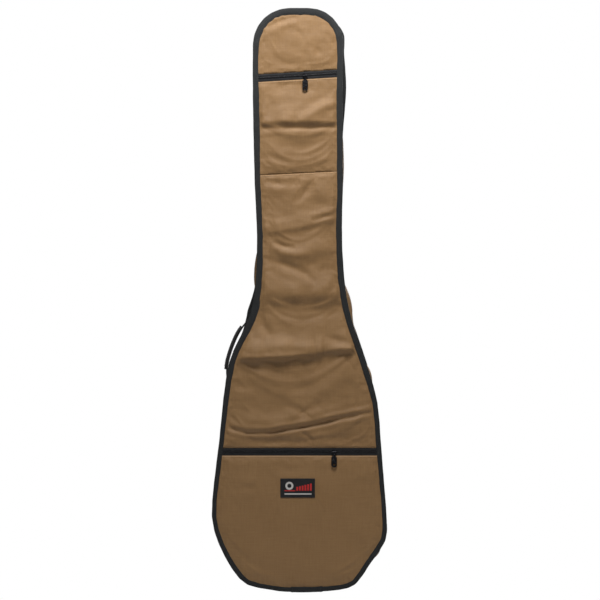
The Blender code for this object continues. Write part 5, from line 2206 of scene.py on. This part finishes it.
# Back and inside -----------------------------------------------------------------------------


@dataclass
class BackAndLining:
    """The back panel and the quilted lining of both halves.

    Attributes:
        outline: the bag's outline.
        lining_inset: how far inside the outer edge the lined side walls stand.
    """

    outline: Outline
    lining_inset: float = 20.6 * MM

    def build(self) -> None:
        """Makes the back panel, the linings and their stitches."""
        def back(x: Array, z: Array, gap: Array) -> Array:
            free = soft_step(gap, 1.0 * MM, 16.0 * MM)
            swell = ripple(x, z, 90.0 * MM, 7.7) * 0.6 * MM + ripple(x, z, 26.0 * MM, 8.8) * 0.2 * MM
            pucker = np.exp(-gap / (11.0 * MM)) * ripple(x, z, 9.0 * MM, 9.9) * 0.6 * MM
            calm = np.exp(-((np.abs(x) - 0.06) / 0.07) ** 2)
            dome = 1.6 * MM * (1 - np.exp(-gap / 0.03)) * (1 - 0.9 * calm)
            return dome + free * swell * (1 - 0.7 * calm) + soft_step(gap, 0, 3.0 * MM) * pucker

        cut = PanelCut(self.outline, 2.5 * MM - self.outline.bumps(REAR_LEAN), step=4.0 * MM)
        obj = cut.lay("back_cloth", BACK_FACE - 0.6 * MM, 1, back, BROWN, 0.9 * MM)
        dress(obj, "base", BROWN, "back_panel")
        self.half("front", "lid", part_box("front_lining")[1].y, 1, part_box("front_gusset_lining"),
                  ("front_lining", "front_foam"))
        self.half("rear", "base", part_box("rear_lining")[0].y, -1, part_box("rear_gusset_lining"),
                  ("rear_lining", "rear_foam"))

    def half(self, name: str, body: str, level: float, facing: int, side_box: tuple[Vector, Vector],
             nodes: Sequence[str]) -> None:
        """The lining of one half of the bag.

        Args:
            name: the half's name.
            body: the body it rides on.
            level: the y of its face.
            facing: 1 where it looks back, -1 where it looks to the front.
            side_box: the box of its side lining.
            nodes: the CAD nodes that its panel stands for.
        """
        def quilt(x: Array, z: Array, gap: Array) -> Array:
            rising, falling = (np.sin((z + lean * x) * math.pi / 0.085) for lean in (0.4, -0.4))
            share = np.abs(rising) * np.abs(falling)
            return 0.9 * MM * np.sqrt(share) * soft_step(gap, 0.0, 12.0 * MM) - 0.9 * MM

        cut = PanelCut(self.outline, self.lining_inset - 0.6 * MM, step=4.5 * MM)
        panel = cut.lay(name + "_quilted_lining", level, facing, quilt, LINING, 0.7 * MM)
        dress(panel, body, LINING, *nodes)
        mouth = side_box[1].y if facing > 0 else side_box[0].y
        deep = level - facing * 1.0 * MM
        inset = self.lining_inset
        edge = mouth - facing * 0.5 * MM
        section = rounded([(12.9 * MM, edge), (inset, edge), (inset, deep), (inset - 0.8 * MM, deep),
                           (inset - 0.8 * MM, edge - facing * 0.8 * MM),
                           (12.9 * MM, edge - facing * 0.8 * MM)], 0.7 * MM, 4)
        points, uv = self.outline.sweep(section)
        rim = lay_mesh(name + "_side_lining", points, uv, LINING, wrap_rows=True, wrap_cols=True)
        dress(rim, body, LINING, name + "_gusset_lining", name + "_gusset_foam")
        line = self.outline.path(inset - 2.6 * MM, edge + facing * 0.1 * MM)
        LINING_SEAM.sew(name + "_lining_stitches", [(line, True)], body)


def dress_hardware() -> None:
    """Gives the sliders, links and tabs a worn black enamel and soft edges."""
    for name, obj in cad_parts.items():
        if not name.endswith(("_slider", "_link", "_tab")):
            continue
        obj.data.materials.clear()
        obj.data.materials.append(ENAMEL.build())
        weld = obj.modifiers.new("weld", "WELD")
        weld.merge_threshold = 0.00002
        if name.endswith("_link"):
            step = obj.modifiers.new("round", "SUBSURF")
            step.levels = step.render_levels = 2
            obj.data.shade_smooth()
        else:
            edge = obj.modifiers.new("edge", "BEVEL")
            edge.width = 0.22 * MM
            edge.segments = 2
            edge.limit_method = "ANGLE"
            edge.angle_limit = math.radians(35.0)
            obj.data.shade_flat()
        LOG.info("%s dressed", name)


# Studio --------------------------------------------------------------------------------------


@dataclass
class Studio:
    """The camera, lights and floor.

    Attributes:
        distance: how far the camera stands from the bag's face, in metres.
        lens: its focal length, in millimetres.
        floor: the floor's height, in metres.
        radius: the floor's radius, in metres.
        ambient: how much light the surround gives.
    """

    distance: float = 6.0
    lens: float = 168.0
    floor: float = -1.45
    radius: float = 1.7
    ambient: float = 0.06

    def area(self, name: str, place: Sequence[float], aim: Sequence[float], size: float,
             power: float) -> None:
        """A soft square light.

        Args:
            name: its name.
            place: where it is.
            aim: where it points.
            size: the length of its side.
            power: its power in watts.
        """
        data = bpy.data.lights.new(name, "AREA")
        data.size = size
        data.energy = power
        light = put(name, data)
        light.location = place
        light.rotation_euler = (Vector(aim) - Vector(place)).to_track_quat("-Z", "Y").to_euler()

    def world(self) -> None:
        """A white surround that lights the bag softly."""
        world = bpy.data.worlds.new("surround")
        world.use_nodes = True
        sketch = NodeSketch(world.node_tree)
        shade = world.node_tree.nodes["Background"]
        path = sketch.add("ShaderNodeLightPath")
        seen = sketch.math("MULTIPLY_ADD", path.outputs["Is Camera Ray"], 1.0 - self.ambient,
                           self.ambient)
        sketch.join(seen, shade.inputs["Strength"])
        shade.inputs["Color"].default_value = (1.0, 1.0, 1.0, 1.0)
        bpy.context.scene.world = world

    def build(self) -> None:
        """Makes the studio."""
        camera = bpy.data.cameras.new("camera")
        camera.lens = self.lens
        camera.sensor_width = 36.0
        camera.clip_end = 50.0
        eye = put("camera", camera)
        eye.location = (1.0 * MM, FRONT_FACE - self.distance, -609.0 * MM)
        eye.rotation_euler = (math.pi / 2, 0.0, 0.0)
        bpy.context.scene.camera = eye
        self.area("key", (0.09, -0.93, 0.93), (0.0, 0.0, -0.45), 0.6, 36.5)
        self.area("left_fill", (-2.0, -2.2, 0.9), (0.0, 0.0, -0.4), 1.4, 5.0)
        self.area("back_fill", (1.2, 2.4, 0.8), (0.0, 0.0, -0.5), 1.6, 45.0)
        self.world()
        bpy.context.scene.view_settings.view_transform = "Standard"
        around = np.linspace(0.0, 2.0 * math.pi, 64, endpoint=False)
        mesh = bpy.data.meshes.new("floor")
        rim = [(self.radius * math.cos(a), self.radius * math.sin(a), self.floor) for a in around]
        mesh.from_pydata(rim, [], [list(range(len(rim)))])
        mesh.materials.append(FLOOR.build())
        put("floor", mesh)


def main() -> None:
    """Builds and dresses the gig bag."""
    logging.basicConfig(level=logging.INFO, format="%(message)s")
    build_groups()
    Studio().build()
    outline = Outline.read()
    panels = FrontPanels(outline)
    panels.build()
    FrontZip("head_zip", outline, panels.head_line(0.0)).build()
    FrontZip("pocket_zip", outline, panels.pocket_line(0.0)).build()
    Bindings(outline).build()
    SideWalls(outline).build()
    Label().build()
    SideHandle(outline).build()
    HangLoop().build()
    ShoulderStraps().build()
    BackAndLining(outline).build()
    dress_hardware()


if __name__ == "__main__":
    main()
